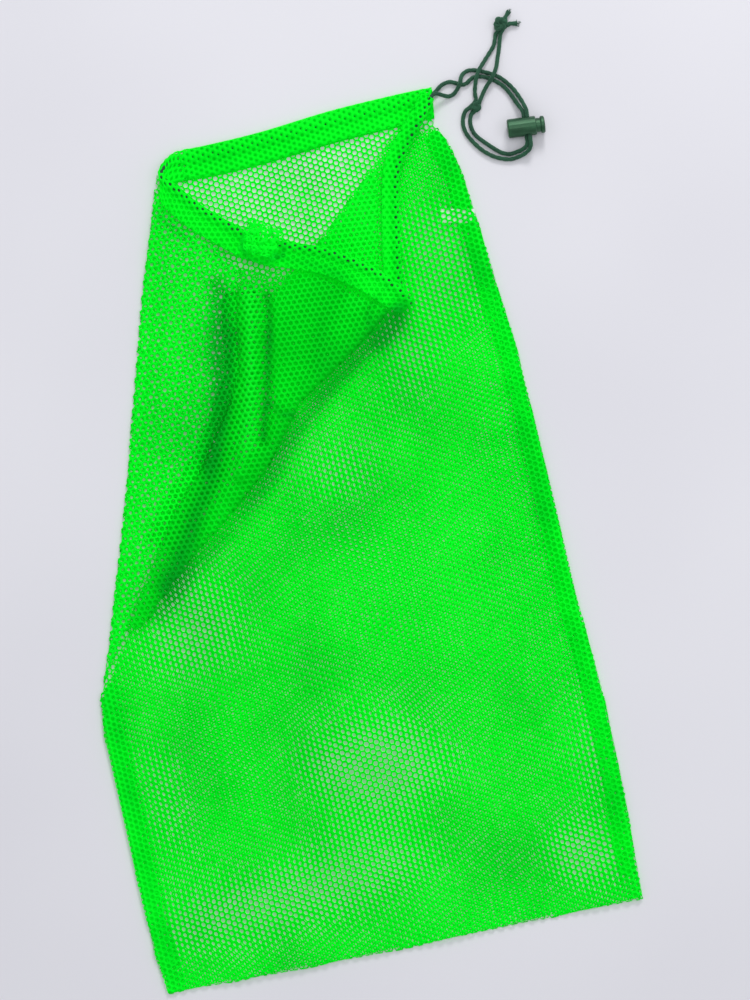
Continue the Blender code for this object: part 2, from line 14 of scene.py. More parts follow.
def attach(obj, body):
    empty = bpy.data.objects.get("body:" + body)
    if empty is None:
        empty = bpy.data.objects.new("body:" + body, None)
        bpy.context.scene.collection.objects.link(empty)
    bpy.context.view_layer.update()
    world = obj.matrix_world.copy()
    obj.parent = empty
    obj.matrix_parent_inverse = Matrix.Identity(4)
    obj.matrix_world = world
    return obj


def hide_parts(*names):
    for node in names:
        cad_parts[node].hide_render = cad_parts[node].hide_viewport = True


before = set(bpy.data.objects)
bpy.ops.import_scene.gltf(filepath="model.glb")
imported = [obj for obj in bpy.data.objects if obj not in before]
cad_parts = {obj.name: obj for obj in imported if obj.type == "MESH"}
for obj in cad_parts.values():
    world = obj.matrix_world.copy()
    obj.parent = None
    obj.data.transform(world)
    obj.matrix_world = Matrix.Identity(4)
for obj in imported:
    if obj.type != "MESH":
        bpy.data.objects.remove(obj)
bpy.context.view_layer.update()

MM = 0.001
ORIGIN = np.zeros(2)
STRAIGHT = np.eye(2)

# The net: hexagonal holes, nearest neighbours along the cloth's length
PITCH = 4.4
COLUMN = PITCH * math.sqrt(0.75)
HOLE_SHARE = 0.66  # hole width as a share of the pitch
STRETCHED = 0.02  # how much wider the back layer's holes are at the mouth
CORD_HOLE_SHARE = 0.43  # in the hem, round the cord
HEM_HOLE_SHARE = 0.22  # in the hem's dense inner band
NET_THICKNESS = 1.3
HOLE_LIMITS = (0.2, 0.85)  # the smallest and the largest share
HEXAGON = np.array([(2, 0), (1, 1), (-1, 1), (-2, 0), (-1, -1), (1, -1)])  # corners, in thirds and halves of a cell
PROBE = 0.25  # step for finding a surface's normal

CORD = 3.2
CORD_RING = 0.45  # the step between a braid's rings of points
CORD_SIDES = 28
CARRIERS = 4  # yarns that go round each way
BRAID_PITCH = 5
BRAID_RELIEF = 0.17

# Camera, straight above with a long lens, turned as the photographer stood
CAMERA_TURN = math.radians(-13)
CAMERA_TILT = math.radians(3)
CAMERA_TARGET = Vector((0.0513, 0.0206, 0))
CAMERA_DISTANCE = 2.6
SENSOR = 36
VIEW_HEIGHT = 0.75

# Light: name, place and size in metres, and power in watts
LIGHTS = (
    ("key", (0.85, 2.2, 1.6), 0.7, 31), ("top", (0.2, 0.45, 2.7), 0.8, 10), ("fill", (1.3, -0.3, 2.2), 1.6, 6),
)
LIGHT_TARGET = Vector((0.03, 0.02, 0))
SKY = (0.94, 0.96, 1, 1)
SKY_STRENGTH = 0.6
DARKEST_PAINTED_SHADE = (0, 0.27, 0.012)  # the darkest painted shade: the yarn's colour in the deepest folds
# how strongly the painted shade along folds darkens the net's colour
PAINTED_SHADE_WEIGHT = 0.28
FLOOR_SIZE = 6

# Drawcord and its two free strands, as the CAD part lays them
DRAWCORD_ROUTE = [
    (162.3, 309.2, 3.2), (134, 307, 3.1), (84, 306.2, 3.1), (30, 302.6, 3.1), (-14, 302, 3.1),
    (-32, 303, 3.3), (-41.5, 302.4, 4.4), (-47.8, 299.4, 6.2), (-50.4, 294, 8), (-47.6, 288, 9.3),
    (-41.6, 281, 10), (-28.2, 263.8, 10.6), (-9.8, 246, 11.5), (2, 235.5, 12.6), (14.5, 227, 14),
    (31.4, 220, 15.8), (59, 208, 19), (84.5, 189.5, 22), (98, 176, 23.8), (104.3, 167.5, 23.6),
    (107.8, 161.2, 21.8), (109.6, 157.3, 18.4), (109.3, 157.6, 15), (107.6, 162, 12.5),
    (106, 169.5, 11.7), (106.3, 181, 11.6), (112.6, 214.3, 11.2), (121.8, 254.8, 10.8),
    (131.8, 272, 10.5), (145.5, 288, 10.2), (160.3, 305.8, 9.8),
]
STRAND_A = [
    (161.6, 307.4, 9.7), (164.8, 308.2, 8.6), (169, 306.6, 5.2), (173.5, 304.9, 2.5), (177.6, 305.6, 1.8),
    (181.4, 308.6, 3.2), (184.3, 312.2, 5.4), (186, 316.4, 3.6), (189, 319.7, 1.8), (193.4, 320.8, 1.7),
    (198.9, 319.5, 1.7), (204.4, 317, 1.7), (210.6, 313.6, 1.7), (216.4, 308.7, 1.7), (222.4, 300.1, 2.2),
    (226.2, 290.2, 4.8), (227.6, 284, 7.2), (228.1, 280.6, 8.5), (227, 268.6, 8.55), (225.9, 256.6, 8.5),
    (224.6, 252.4, 7), (220.6, 249.7, 4.4), (215.7, 248.5, 2.4), (209, 248, 1.7), (202.8, 249.8, 1.7),
    (195.7, 253.7, 1.7), (188.3, 260.9, 1.7), (181.8, 271.5, 1.7), (179.7, 279.9, 1.7), (181, 287, 1.9),
    (184, 291.4, 2.6), (187.2, 292.8, 3.1),
]
STRAND_B = [
    (163.8, 309.6, 3.2), (167, 312, 2.6), (170.8, 314.6, 1.8), (176.9, 315.6, 1.7), (181.5, 313.6, 1.7),
    (184.5, 311.8, 1.7), (187.2, 311.2, 1.7), (189.8, 311.8, 1.7), (192, 313.4, 1.7), (194.6, 314.7, 1.7),
    (198, 314.8, 1.7), (202.6, 313.8, 1.7), (206.8, 311.6, 1.7), (211.9, 307.6, 1.7), (216.3, 302.7, 1.7),
    (220, 295.6, 2), (223.2, 287, 3.8), (225, 282.4, 5.6), (225.6, 280.6, 6.05), (224.5, 268.6, 6.05),
    (223.4, 256.8, 6.05), (221.8, 254.3, 5), (218.3, 252.9, 3), (214.1, 252.3, 1.9), (209.2, 251.9, 1.7),
    (204.4, 253.7, 1.7), (200.3, 256.8, 1.7), (193.1, 264.3, 1.7), (187, 271.9, 1.7), (185.2, 278.7, 1.7),
    (186, 285, 1.7), (188.9, 289.4, 1.7),
]
STRAND_A_END = [
    (193.3, 297.2, 1.9), (193.6, 300.8, 1.8), (194.2, 304.9, 2.8), (196, 310.5, 4.9), (198, 314.8, 5.7),
    (200.6, 318.9, 5.5), (204.7, 323.4, 3.5), (210.8, 329.7, 1.8), (215.6, 334.8, 1.7), (218, 340.2, 1.7),
    (219.6, 344.2, 1.9),
]
STRAND_B_END = [
    (196, 296.2, 4.6), (198.6, 299.8, 3.4), (202.4, 304.7, 3.4), (208.3, 310.4, 5.5), (212, 315.2, 5.7),
    (214.4, 319.6, 4.6), (216.4, 325, 2.8), (219.2, 332, 1.8), (221.2, 338.4, 2.4), (222.8, 342.8, 3.9),
]
TAILS = (
    ("tail_a", [(228.2, 352.9, 3.2), (230.6, 355.4, 2.4), (232.6, 357.6, 1.8)]),
    ("tail_b", [(230.4, 348.6, 2.6), (233.6, 348.1, 2), (236.8, 347.3, 1.8)]),
)
FREE_CORDS = (  # letter, course up to the middle knot and past it, length in metres
    ("a", STRAND_A, STRAND_A_END, 0.275), ("b", STRAND_B, STRAND_B_END, 0.241),
)
KNOTS = (  # piece, CAD node, middle, and each strand's way in, way out, loop size, rise and swing
    ("knot_mid", "mid_knot", (192.6, 292.4, 3.4), (
        ((186, 292.6, 2.9), (193.4, 298, 2), 0.85, 1.2, 0.5),
        ((188.4, 288.6, 1.7), (196.4, 297, 4.4), 1, 1.5, -0.4),
    )),
    ("knot_end", "end_knot", (224.3, 349.2, 4.7), (
        ((219.3, 343.4, 1.8), (229.2, 353.8, 3.1), 1.55, 2.1, 0.4),
        ((222.4, 341.8, 3.6), (231.6, 348.4, 2.6), 1.35, 1.8, -0.3),
    )),
)
KNOT_CORD = CORD * 0.94  # drawn tight
KNOT_GAP = 0.35  # the part of the loop that is left out between a strand's way in and its way out
TAIL_CORD = CORD * 0.98
FRAYED = 16  # loose fibres at each cut end
FRAY_SPREAD = 0.75
FRAY_LENGTH = (1.2, 2.6)
FIBRE = 0.35  # its thickness

# Outlines of the layers, as in the CAD part
BOTTOM_EDGE = [(-181.2, -303.4), (-90, -307.4), (0, -310.4), (90, -311.8), (178.8, -314.4)]
RIGHT_EDGE = [
    (178.8, -314.4), (183.4, -235), (185.2, -164), (181.9, -80), (182.1, -12), (181.5, 68),
    (181, 112), (178, 146), (174.6, 200), (170.4, 250), (166.2, 270), (159.9, 284.2),
]
LOWER_LEFT = [
    (-181.2, -303.4), (-184.6, -276), (-185.2, -234), (-185, -157), (-185.3, -105), (-182.4, -80),
]
LEFT_FOLD = [
    (-182.4, -80), (-165.9, -37), (-131.2, 63), (-108.6, 135), (-86, 207), (-63, 270), (-58.5, 284),
]
SEAM_LINE = [
    (-178, -69), (-152, -34), (-135.4, -7.9), (-95, 46.7), (-69, 72.3), (-40, 112), (-25.4, 138.4),
    (-20.8, 168), (-14.5, 195), (-8, 212),
]
PLEAT_FOLD = [
    (-143, -23), (-118, 2), (-84, 30), (-50, 59), (-23, 82), (-4, 106), (-2, 140), (6, 185),
    (55, 220), (92, 253), (124.5, 284),
]
DIAGONAL_FOLD = [
    (-134, -30), (-124.4, -20.4), (-91.6, 8.2), (-53.9, 34.9), (-19.8, 62.4), (12.6, 102.7), (61.7, 132.1),
    (94.5, 155.5),
]
HEM_INNER = [
    (159.9, 284.2), (155.4, 295.5), (159.6, 303), (84, 301), (30, 297.5), (-17, 297), (-54, 296), (-58.5, 284),
]
FLAP_TOP = [(-8, 212), (24, 203), (49.5, 191), (72, 172.5), (94.5, 155.5)]
WRAP_TOP = [(-58.5, 284), (-52, 272), (-48, 262), (-41.6, 250.3), (-22.5, 232.8), (-8, 212)]

# Heights of the layers: (x, y, height), and along the lines above
FRONT_EDGE_HEIGHTS = [
    (-181, -303, 2.2), (-90, -307, 2.2), (0, -310, 2.2), (90, -311.5, 2.2), (179, -313, 2.2),
    (180, -295, 3.4), (183, -230, 3.4), (185, -164, 3.4), (182, -12, 3.4), (181, 68, 3.4),
    (178, 146, 3.4), (172, 215, 4.5), (168, 255, 3.6), (166, 284, 3.6),
    (-183, -286, 3.4), (-185, -234, 3.4), (-185, -157, 3.4), (-185, -95, 3.4), (-182, -80, 3.3),
    (-169, -61, 3.5),
]
PLEAT_HEIGHTS = (4.3, 5, 5.8, 6.4, 6.9, 7.2, 7.2, 7.2, 7, 6.6)
FRONT_HEIGHTS = [
    (124, 284, 6),
    (0, -150, 11), (0, -240, 9.5), (-110, -150, 9.5), (115, -150, 9.5), (0, -40, 10.5), (100, -30, 9.5),
    (-90, -60, 8.6), (50, 70, 9), (120, 60, 8.4), (60, 150, 7.6), (120, 150, 7.2), (110, 220, 7),
    (142, 250, 5.8),
]
SEAM_HEIGHTS = (5, 6.5, 9, 11, 13.5, 14.5, 15, 14, 12.6)  # along the seam line, from its second place
WRAP_HEIGHTS = [
    (-165.9, -37, 2), (-131.2, 63, 2), (-108.6, 135, 2), (-86, 207, 2.2), (-63, 270, 5.2),
    (-57, 268, 7.2), (-41.6, 250.3, 8.5), (-22.5, 232.8, 9.6),
    (-115, 45, 6.4), (-85, 110, 7.6), (-60, 170, 8.4), (-62, 225, 7.4), (-35, 205, 10.2),
]
FLAP_HEIGHTS = [
    (96, 157.5, 18.8), (84, 166, 20.4), (74, 174, 19.2), (50, 192, 16.8),
    (24, 203.5, 13.9), (30, 150, 17), (4, 120, 15.5), (-16, 92, 14.5),
]
DIAGONAL_HEIGHTS = (8.6, 9.8, 11.4, 12.8, 14.2, 16.2)  # from the diagonal fold's second place
# Folds of the upper layers beside the seam, and a crease: (places, how far up or down, half width)
WRAP_FOLDS = [
    ([(-27, 204), (-26, 192), (-38, 136), (-52, 92), (-70, 52)], -9, 8),
    ([(-52, 236), (-66, 196), (-88, 118), (-112, 46)], 1.6, 7),
    ([(-44, 222), (-56, 176), (-80, 98), (-104, 30)], -1.2, 6),
    ([(-74, 214), (-92, 150), (-122, 62)], 1.2, 6),
]
FLAP_FOLDS = [
    ([(-7, 188), (-18, 132), (-31, 86), (-42, 62)], 6, 5.5),
    ([(7, 186), (-4, 140), (-11, 108), (-20, 80)], -5, 4.5),
    ([(90, 156), (62, 139), (22, 114), (-10, 86), (-60, 40)], 3.4, 9),
    ([(62, 176), (40, 150), (26, 128)], -1.2, 7),
]
FRONT_FOLDS = [
    ([(54, -110), (110, -104), (175, -93)], 1.5, 5),
    ([(112, 168), (118, 100), (122, 40)], 1.2, 8),
    ([(-120, -20), (-60, 30), (-10, 66), (40, 108), (72, 130)], -2, 9),
    ([(82, 138), (92, 144), (99, 156)], -3.4, 10),
]
# Painted shade and highlight: these lines darken the yarn's colour, and lighten it where the amount is below zero.
# Where the yarn's colour is painted darker, in folds, beside raised edges and where the cloth is stacked: (places, how
# much, half width)
PAINTED_SHADE_LINES = [
    ([(-27, 202), (-30, 180), (-38, 136), (-51, 96), (-68, 58), (-92, 20), (-114, -8)], 1.1, 9),
    ([(7, 187), (5, 170), (-1, 148), (-6, 128), (-12, 108), (-20, 84)], 0.95, 3.6),
    ([(96, 150), (62, 127), (30, 104), (4, 82), (-20, 54), (-54, 26), (-92, 0), (-124, -27)], 0.9, 7.5),
    ([(84, 136), (94, 142), (101, 154)], 0.9, 9),
    ([(82, 158), (58, 140), (24, 116), (-8, 84), (-52, 42)], 0.35, 9),
    ([(60, 176), (40, 152), (30, 130)], 0.3, 8),
    ([(-5, 190), (-12, 158), (-18, 132), (-31, 82)], -0.7, 5.5),
    ([(146, 288), (128, 268), (118, 244), (110, 206), (106, 176)], 0.5, 4),
    ([(-60, 268), (-48, 250), (-28, 232), (-14, 219)], 0.5, 3.5),
    ([(20, 214), (40, 205), (60, 192), (74, 180)], 0.4, 3.5),
    ([(-1, 234), (-3, 226), (0, 217), (12, 213), (25, 214), (28, 222)], 0.8, 2.4),
    ([(-34, 168), (-46, 124), (-62, 84)], 0.35, 17), ([(-9, 108), (-2, 98), (6, 96)], 0.6, 3.5),
    ([(-36, 240), (-26, 218), (-22, 206)], -0.4, 6), ([(88, 168), (78, 160), (76, 150)], 0.5, 3),
    ([(-104, 100), (-78, 180), (-64, 230)], 0.25, 8),
    ([(170, -300), (174, -235), (176, -164), (173, -80), (173, -12), (172, 68), (170, 130), (164, 210)], 0.38, 8),
    ([(-173, -292), (-176, -234), (-176, -157), (-176, -105)], 0.45, 7),
    ([(-122, -129), (-112, -126)], 0.25, 34), ([(112, -171), (118, -168)], 0.25, 36),
    ([(60, -262), (90, -258)], 0.2, 26), ([(2, -3), (30, 8)], 0.3, 34), ([(60, 60), (90, 84)], 0.2, 26),
    ([(-40, -90), (0, -100)], 0.15, 34),
]
# Where a panel's holes are wider or denser, in the same terms
DENSER_EDGES = [(LEFT_FOLD, -0.16, 8), (RIGHT_EDGE, -0.3, 10), (LOWER_LEFT, -0.3, 11)]
HOLE_CHANGES = {
    "net_flap": [([(4, 209), (20, 200)], 0.34, 13)], "net_front": DENSER_EDGES, "net_wrap": DENSER_EDGES,
}
# Where the front layer's holes fall on the back layer's: (x, y, half widths, how nearly)
LIGHT_PATCHES = [
    (10, -174, 62, 46, 1), (-77, -254, 105, 30, 1), (-106, -43, 42, 40, 0.9), (28, 53, 40, 34, 0.6),
    (139, 185, 32, 52, 0.95), (142, -270, 30, 28, 0.8), (101, 119, 26, 26, 0.6), (167, -195, 20, 42, 0.4),
    (-150, -160, 24, 40, 0.5),
]
EYE_FOOT = np.array([20.7, -112])  # the layers' holes fall together as one standing over this place sees them
EYE_HEIGHT = 2600
PATCHES_BELOW = 100  # above this Y the light patches' holes stay as wide as the others
MOUTH_FROM = 150  # where the holes begin to be wider towards the mouth, over the next 90 mm
MOUTH_LENGTH = 90
ALIKE_SIZE = 4.5  # how many times STRETCHED the holes are wider at the light patches
LAYER_STEP = 1.9
BACK_LIES = 1
WRAP_LIMITS = (2.5, 15)
FOLD_RADII = (0.4, 3)  # the tightest and the widest bend at a fold
SEAM_RISE = 5  # how far from a seam a panel has risen to its own height

# Hem casing at each place of the drawcord's route: the heading from the cord to the net and how far the casing has
# turned over, in degrees, how far its fold reaches past the cord, and its width from the cord to the inner edge.
CASING = [
    (-98, 0, 2.6, 18.2), (-92, 0, 5.2, 16.2), (-90, 0, 5.2, 16.2), (-89, 0, 5, 16.2), (-91, 0, 5, 16.2),
    (-90, 0, 4.6, 16), (-92, 28, 3, 15.5), (-98, 75, 1, 15), (-106, 110, 0.5, 16), (-115, 150, 0.3, 17),
    *[(heading, 180, 0.3, 17) for heading in (-126, -134, -130, -126, -114, -113, -120, -130, -138)],
    (-142, 184, 0.3, 15.5), (-148, 205, 0.2, 13.5), (-156, 250, 0.1, 12.5), (-165, 290, 0.1, 12), (-172, 335, 0.1, 12),
    (-178, 360, 0.2, 12), (-188, 360, 0.3, 11.5), (-192, 360, 0.3, 11.5), (-198, 360, 0.3, 11),
    (-212, 360, 0.3, 10.5), (-218, 360, 0.3, 9.5), (-219, 360, 0.3, 8.5),
]
CASING_ROLL = 2.35  # radius of the roll round the cord
HALF_ROLL = math.pi * CASING_ROLL  # the cloth that goes round the cord
CASING_WIDEST = 17  # from the cord to the inner edge
CASING_UNEVEN = 0.14  # how much the hem's holes vary in size
CASING_GAP = 0.95  # half the distance between the casing's two layers at its inner edge
CASING_SINK = 1.4  # how much lower than the cord the inner edge lies
TURNED_IN = 14  # cloth of the raw edge, turned in between the layers
TURNED_DEPTH = 10  # how deep it reaches there, crumpled
STRETCHES = {  # CAD node: first and last place of the route
    "hem_back": (0, 5), "hem_corner_left": (5, 10), "hem_wrap": (10, 13), "seam_junction": (13, 14),
    "hem_flap": (14, 18), "hem_corner_front": (18, 24), "hem_turnback": (24, 30),
}
SEAM_ALLOWANCE = 14
RIGHT_SEAM = [(179.4, -294), (183.1, -235), (185, -164), *RIGHT_EDGE[3:-1], (161, 282)]
LEFT_SEAM = [(-183.4, -284), (-184.9, -234), (-184.6, -157), (-184.8, -105)]
ALLOWANCE_HEIGHTS = (1.5, 1.75)  # of its two layers
SPREAD = 27  # the upper left allowance's width
OVERLOCK_STEP = 1.1
OVERLOCK_EDGES = (12.2, 14.8)  # its two rows, from the seam
STITCH = 2.6
STITCH_GAP = 0.7
STITCH_SINKS = (0, 0.15, 0.5, 0.85, 1)  # places along a stitch: through the cloth, and up on it between
STITCH_INSET = 2.5  # from the casing's inner edge
STITCH_LIFTS = (0.55, -0.2)  # above the cloth between a stitch's ends, and below its face at them
THREAD_SIZE = 0.5
LABEL_SIZE = (26.3, 10.6)
LABEL_PLACE = np.array([172.6, 212])  # the middle of its sewn end
LABEL_TURN = 167
LABEL_DEPTH = 1.35  # below the front net's middle
LABEL_THICKNESS = 0.25


# Curves and surfaces


def smooth_line(points, spacing):
    """A Catmull-Rom curve through the points, as an array."""
    given = [np.array(p, float) for p in points]
    ends = [2 * given[0] - given[1], *given, 2 * given[-1] - given[-2]]
    curve = [given[0]]
    for before, start, end, after in zip(ends, ends[1:], ends[2:], ends[3:]):
        count = max(1, round(float(np.linalg.norm(end - start)) / spacing))
        for step in range(1, count + 1):
            t = step / count
            first = (end - before) * t
            second = (2 * before - 5 * start + 4 * end - after) * t**2
            third = (3 * start - before - 3 * end + after) * t**3
            curve.append((2 * start + first + second + third) / 2)
    return np.array(curve)


def read(wanted, at, rows):
    """Rows that are known at some distances, read at the wanted ones."""
    return np.column_stack([np.interp(wanted, at, column) for column in rows.T])


def lengths_along(line):
    return np.concatenate([[0], np.cumsum(np.linalg.norm(np.diff(line, axis=0), axis=1))])


def evenly(line, step):
    """The line again, with places about step apart."""
    at = lengths_along(line)
    wanted = np.linspace(0, at[-1], max(2, round(at[-1] / step) + 1))
    return read(wanted, at, line)


def height_field(places):
    """The thin-plate surface through places of (x, y, height), as a function of rows of x and y."""
    places = np.array(places, float)
    count = len(places)

    def bend(squared):
        return 0.5 * squared * np.log(squared + 1e-9)

    offsets = places[:, None, :2] - places[None, :, :2]
    system = np.zeros((count + 3, count + 3))
    system[:count, :count] = bend((offsets**2).sum(axis=-1))
    system[:count, count] = 1
    system[:count, count + 1 :] = places[:, :2]
    system[count:, :count] = system[:count, count:].T
    weights = np.linalg.solve(system, np.append(places[:, 2], [0, 0, 0]))

    def height(where):
        found = weights[count] + where @ weights[count + 1 :]
        for place, weight in zip(places, weights):
            found = found + weight * bend(((where - place[:2]) ** 2).sum(axis=-1))
        return found

    return height


def unit(vectors):
    return vectors / np.linalg.norm(vectors, axis=-1, keepdims=True)


def soft_step(t):
    t = np.clip(t, 0, 1)
    return t * t * (3 - 2 * t)


def raised(points, heights):
    """Places with a height each."""
    return [(*point, height) for point, height in zip(points, heights)]


def ripple(where, waves):
    """A sum of long soft waves, each (amplitude, wavelength, direction in degrees, phase)."""
    total = np.zeros(len(where))
    for amplitude, wavelength, direction, phase in waves:
        angle = math.radians(direction)
        along = where @ np.array([math.cos(angle), math.sin(angle)])
        total += amplitude * np.sin(2 * math.pi * along / wavelength + phase)
    return total


def folds(where, lines):
    """Ridges and valleys along lines, each (places, height, half width)."""
    total = np.zeros(len(where))
    for line, height, width in lines:
        _, away = nearest_on(where, np.array(line, float))
        total += height * np.exp(-((away / width) ** 2))
    return total


def inside(points, polygon):
    """Which points lie in the polygon."""
    found = np.zeros(len(points), bool)
    x, y = points.T
    for (x0, y0), (x1, y1) in zip(polygon, np.roll(polygon, -1, axis=0)):
        if y0 == y1:
            continue
        found ^= ((y0 > y) != (y1 > y)) & (x < (x1 - x0) * (y - y0) / (y1 - y0) + x0)
    return found


def nearest_on(points, line):
    """The nearest place on a line for each point, and how far it is."""
    best = np.full(len(points), np.inf)
    place = np.zeros_like(points)
    for start, end in zip(line, line[1:]):
        ahead = end - start
        t = np.clip(((points - start) @ ahead) / (ahead @ ahead), 0, 1)
        on = start + t[:, None] * ahead
        away = np.linalg.norm(points - on, axis=1)
        nearer = away < best
        best[nearer] = away[nearer]
        place[nearer] = on[nearer]
    return place, best


# Net


def lattice(polygon, transform, origin, shift=None):
    """Keys of the lattice's cells whose centres lie in the polygon, once the lattice is laid on it."""
    polygon = np.array(polygon, float)
    back = np.linalg.inv(transform)
    corners = (polygon - origin) @ back.T
    low = np.floor(corners.min(axis=0) / (COLUMN, PITCH)).astype(int) - 1
    high = np.ceil(corners.max(axis=0) / (COLUMN, PITCH)).astype(int) + 1
    i, j = np.meshgrid(np.arange(low[0], high[0] + 1), np.arange(low[1], high[1] + 1), indexing="ij")
    keys = np.column_stack([3 * i.ravel(), 2 * j.ravel() + (i.ravel() & 1)])
    centres = local(keys) @ transform.T + origin
    if shift is not None:
        centres = centres + shift(centres)
    return keys[inside(centres, polygon)]


def strip(length, width):
    """Keys of the cells of a straight strip."""
    return lattice([(0, 0), (length, 0), (length, width), (0, width)], STRAIGHT, ORIGIN)


def local(keys):
    """Flat places of lattice keys, which count in thirds of a column and halves of a pitch."""
    return keys * np.array([COLUMN / 3, PITCH / 2])


def net(name, keys, place, hole=HOLE_SHARE, uneven=0.06):
    """A closed mesh of net: a ring round the hole of each cell, where place says."""
    corners = (keys[:, None] + HEXAGON[None]).reshape(-1, 2)
    outer, owner = np.unique(corners, axis=0, return_inverse=True)
    owner = owner.reshape(-1, 6)
    flat = local(outer)
    middle = place(flat)
    ahead = place(flat + (PROBE, 0)) - place(flat - (PROBE, 0))
    aside = place(flat + (0, PROBE)) - place(flat - (0, PROBE))
    normal = np.cross(ahead, aside)
    size = np.linalg.norm(normal, axis=1)
    flat_side = size < 0.02 * PROBE**2
    normal[flat_side] = (0, 0, 1)
    normal /= np.where(flat_side, 1, size)[:, None]
    random = np.random.default_rng(len(keys))
    share = np.clip(hole * (1 + uneven * random.standard_normal(len(keys))), *HOLE_LIMITS)[:, None, None]
    rim = local(keys)[:, None] + local(HEXAGON)[None] * share
    hole_points = place(rim.reshape(-1, 2))
    count = len(outer)
    points = np.vstack([middle + normal * NET_THICKNESS / 2, middle - normal * NET_THICKNESS / 2, hole_points])
    following = np.roll(owner, -1, axis=1)
    rims = 2 * count + np.arange(len(keys) * 6).reshape(-1, 6)
    next_rims = np.roll(rims, -1, axis=1)
    upper = np.stack([owner, following, next_rims, rims], axis=-1).reshape(-1, 4)
    lower = np.stack([following + count, owner + count, rims, next_rims], axis=-1).reshape(-1, 4)
    edges = np.stack([owner, following], axis=-1).reshape(-1, 2)
    _, which, uses = np.unique(np.sort(edges, axis=1), axis=0, return_inverse=True, return_counts=True)
    border = edges[uses[which.ravel()] == 1]
    sides = np.column_stack([border[:, 1], border[:, 0], border[:, 0] + count, border[:, 1] + count])
    piece = mesh_piece(name, points, np.vstack([upper, lower, sides]))
    # Painted shade: each point keeps how much its colour is darkened or lightened by the fold lines' map
    painted_shade = piece.data.attributes.new("painted_shade", "FLOAT", "POINT")
    painted_shade.data.foreach_set("value", folds(points[:, :2], PAINTED_SHADE_LINES).astype(np.float32))
    return piece


def placed(name, data):
    """A new object in the scene."""
    obj = bpy.data.objects.new(name, data)
    bpy.context.scene.collection.objects.link(obj)
    return obj


def mesh_piece(name, points, quads):
    """A smooth mesh from points in millimetres and four-cornered faces."""
    mesh = bpy.data.meshes.new(name)
    mesh.from_pydata(points * MM, [], quads, shade_flat=False)
    mesh.validate()
    mesh.shade_smooth()
    return placed(name, mesh)


def turned(degrees):
    """The 2 by 2 turn by an angle."""
    angle = math.radians(degrees)
    return np.array([[math.cos(angle), -math.sin(angle)], [math.sin(angle), math.cos(angle)]])


def mirror_over(line):
    """The 2 by 2 mirror over a straight line, and the offset that goes with it."""
    start, end = (np.array(p, float) for p in line)
    along = unit(end - start)
    mirror = 2 * np.outer(along, along) - STRAIGHT
    return mirror, start - mirror @ start


def layer(sides, height, transform, origin, shift=None):
    """How a panel lies: sides are (kind, line, other layer's height), round the panel in order.

    At a fold, cloth past the line comes back on the other layer. At a seam it stops on the line, at the given height.
    """
    lines = [np.array(line, float) for _, line, _ in sides]
    polygon = np.vstack([line[:-1] for line in lines])

    def place(flat):
        where = flat @ transform.T + origin
        if shift is not None:
            where = where + shift(where)
        outside = ~inside(where, polygon)
        found = [nearest_on(where, line) for line in lines]
        closest = np.argmin([away for _, away in found], axis=0)
        settled = where.copy()
        for number, (kind, _, _) in enumerate(sides):
            past = outside & (closest == number)
            if kind == "fold":
                settled[past] = 2 * found[number][0][past] - where[past]
            elif kind == "seam":
                settled[past] = found[number][0][past]
        z = height(settled)
        for number, (kind, _, other) in enumerate(sides):
            away = found[number][1]
            past = outside & (closest == number)
            if kind == "fold":
                below = other(settled)
                middle = (z + below) / 2
                radius = np.clip(np.abs(z - below) / 2, *FOLD_RADII)
                reach = 1 - np.clip(away / radius, 0, 1)
                mine = np.where(past, below, z)
                z = middle + (mine - middle) * np.sqrt(1 - reach**2)
            elif kind == "seam":
                edge = other(settled)
                reach = 1 - np.clip(np.where(past, 0, away) / SEAM_RISE, 0, 1)
                z = edge + (z - edge) * np.sqrt(1 - reach**2)
        return np.column_stack([settled, z])

    return polygon, place


def split(keys, count):
    """The cells in strips of about equal number along the cloth, so that each piece stays small."""
    along = np.sort(keys[:, 1])
    bounds = [along[len(keys) * k // count] for k in range(1, count)]
    return [keys[np.searchsorted(bounds, keys[:, 1], side="right") == k] for k in range(count)]


# Stage, light and camera


def make_camera():
    camera = placed("camera", bpy.data.cameras.new("camera"))
    turn = Matrix.Rotation(CAMERA_TURN, 4, "Z") @ Matrix.Rotation(CAMERA_TILT, 4, "X")
    away = Matrix.Translation((0, 0, CAMERA_DISTANCE))
    camera.matrix_world = Matrix.Translation(CAMERA_TARGET) @ turn @ away
    camera.data.sensor_width = SENSOR
    camera.data.lens = SENSOR * CAMERA_DISTANCE / VIEW_HEIGHT
    bpy.context.scene.camera = camera


def make_light():
    world = bpy.data.worlds.new("studio")
    world.use_nodes = True
    background = world.node_tree.nodes["Background"]
    background.inputs["Color"].default_value = SKY
    background.inputs["Strength"].default_value = SKY_STRENGTH
    bpy.context.scene.world = world
    for name, place, size, power in LIGHTS:
        lamp = bpy.data.lights.new(name, "AREA")
        lamp.size = size
        lamp.energy = power
        obj = placed(name, lamp)
        obj.location = place
        obj.rotation_euler = (LIGHT_TARGET - Vector(place)).to_track_quat("-Z", "Y").to_euler()
    bpy.context.scene.view_settings.view_transform = "Standard"


def make_floor():
    bpy.ops.mesh.primitive_plane_add(size=FLOOR_SIZE)
    floor = bpy.context.object
    floor.name = "floor"
    floor.data.materials.append(floor_material())


# Materials


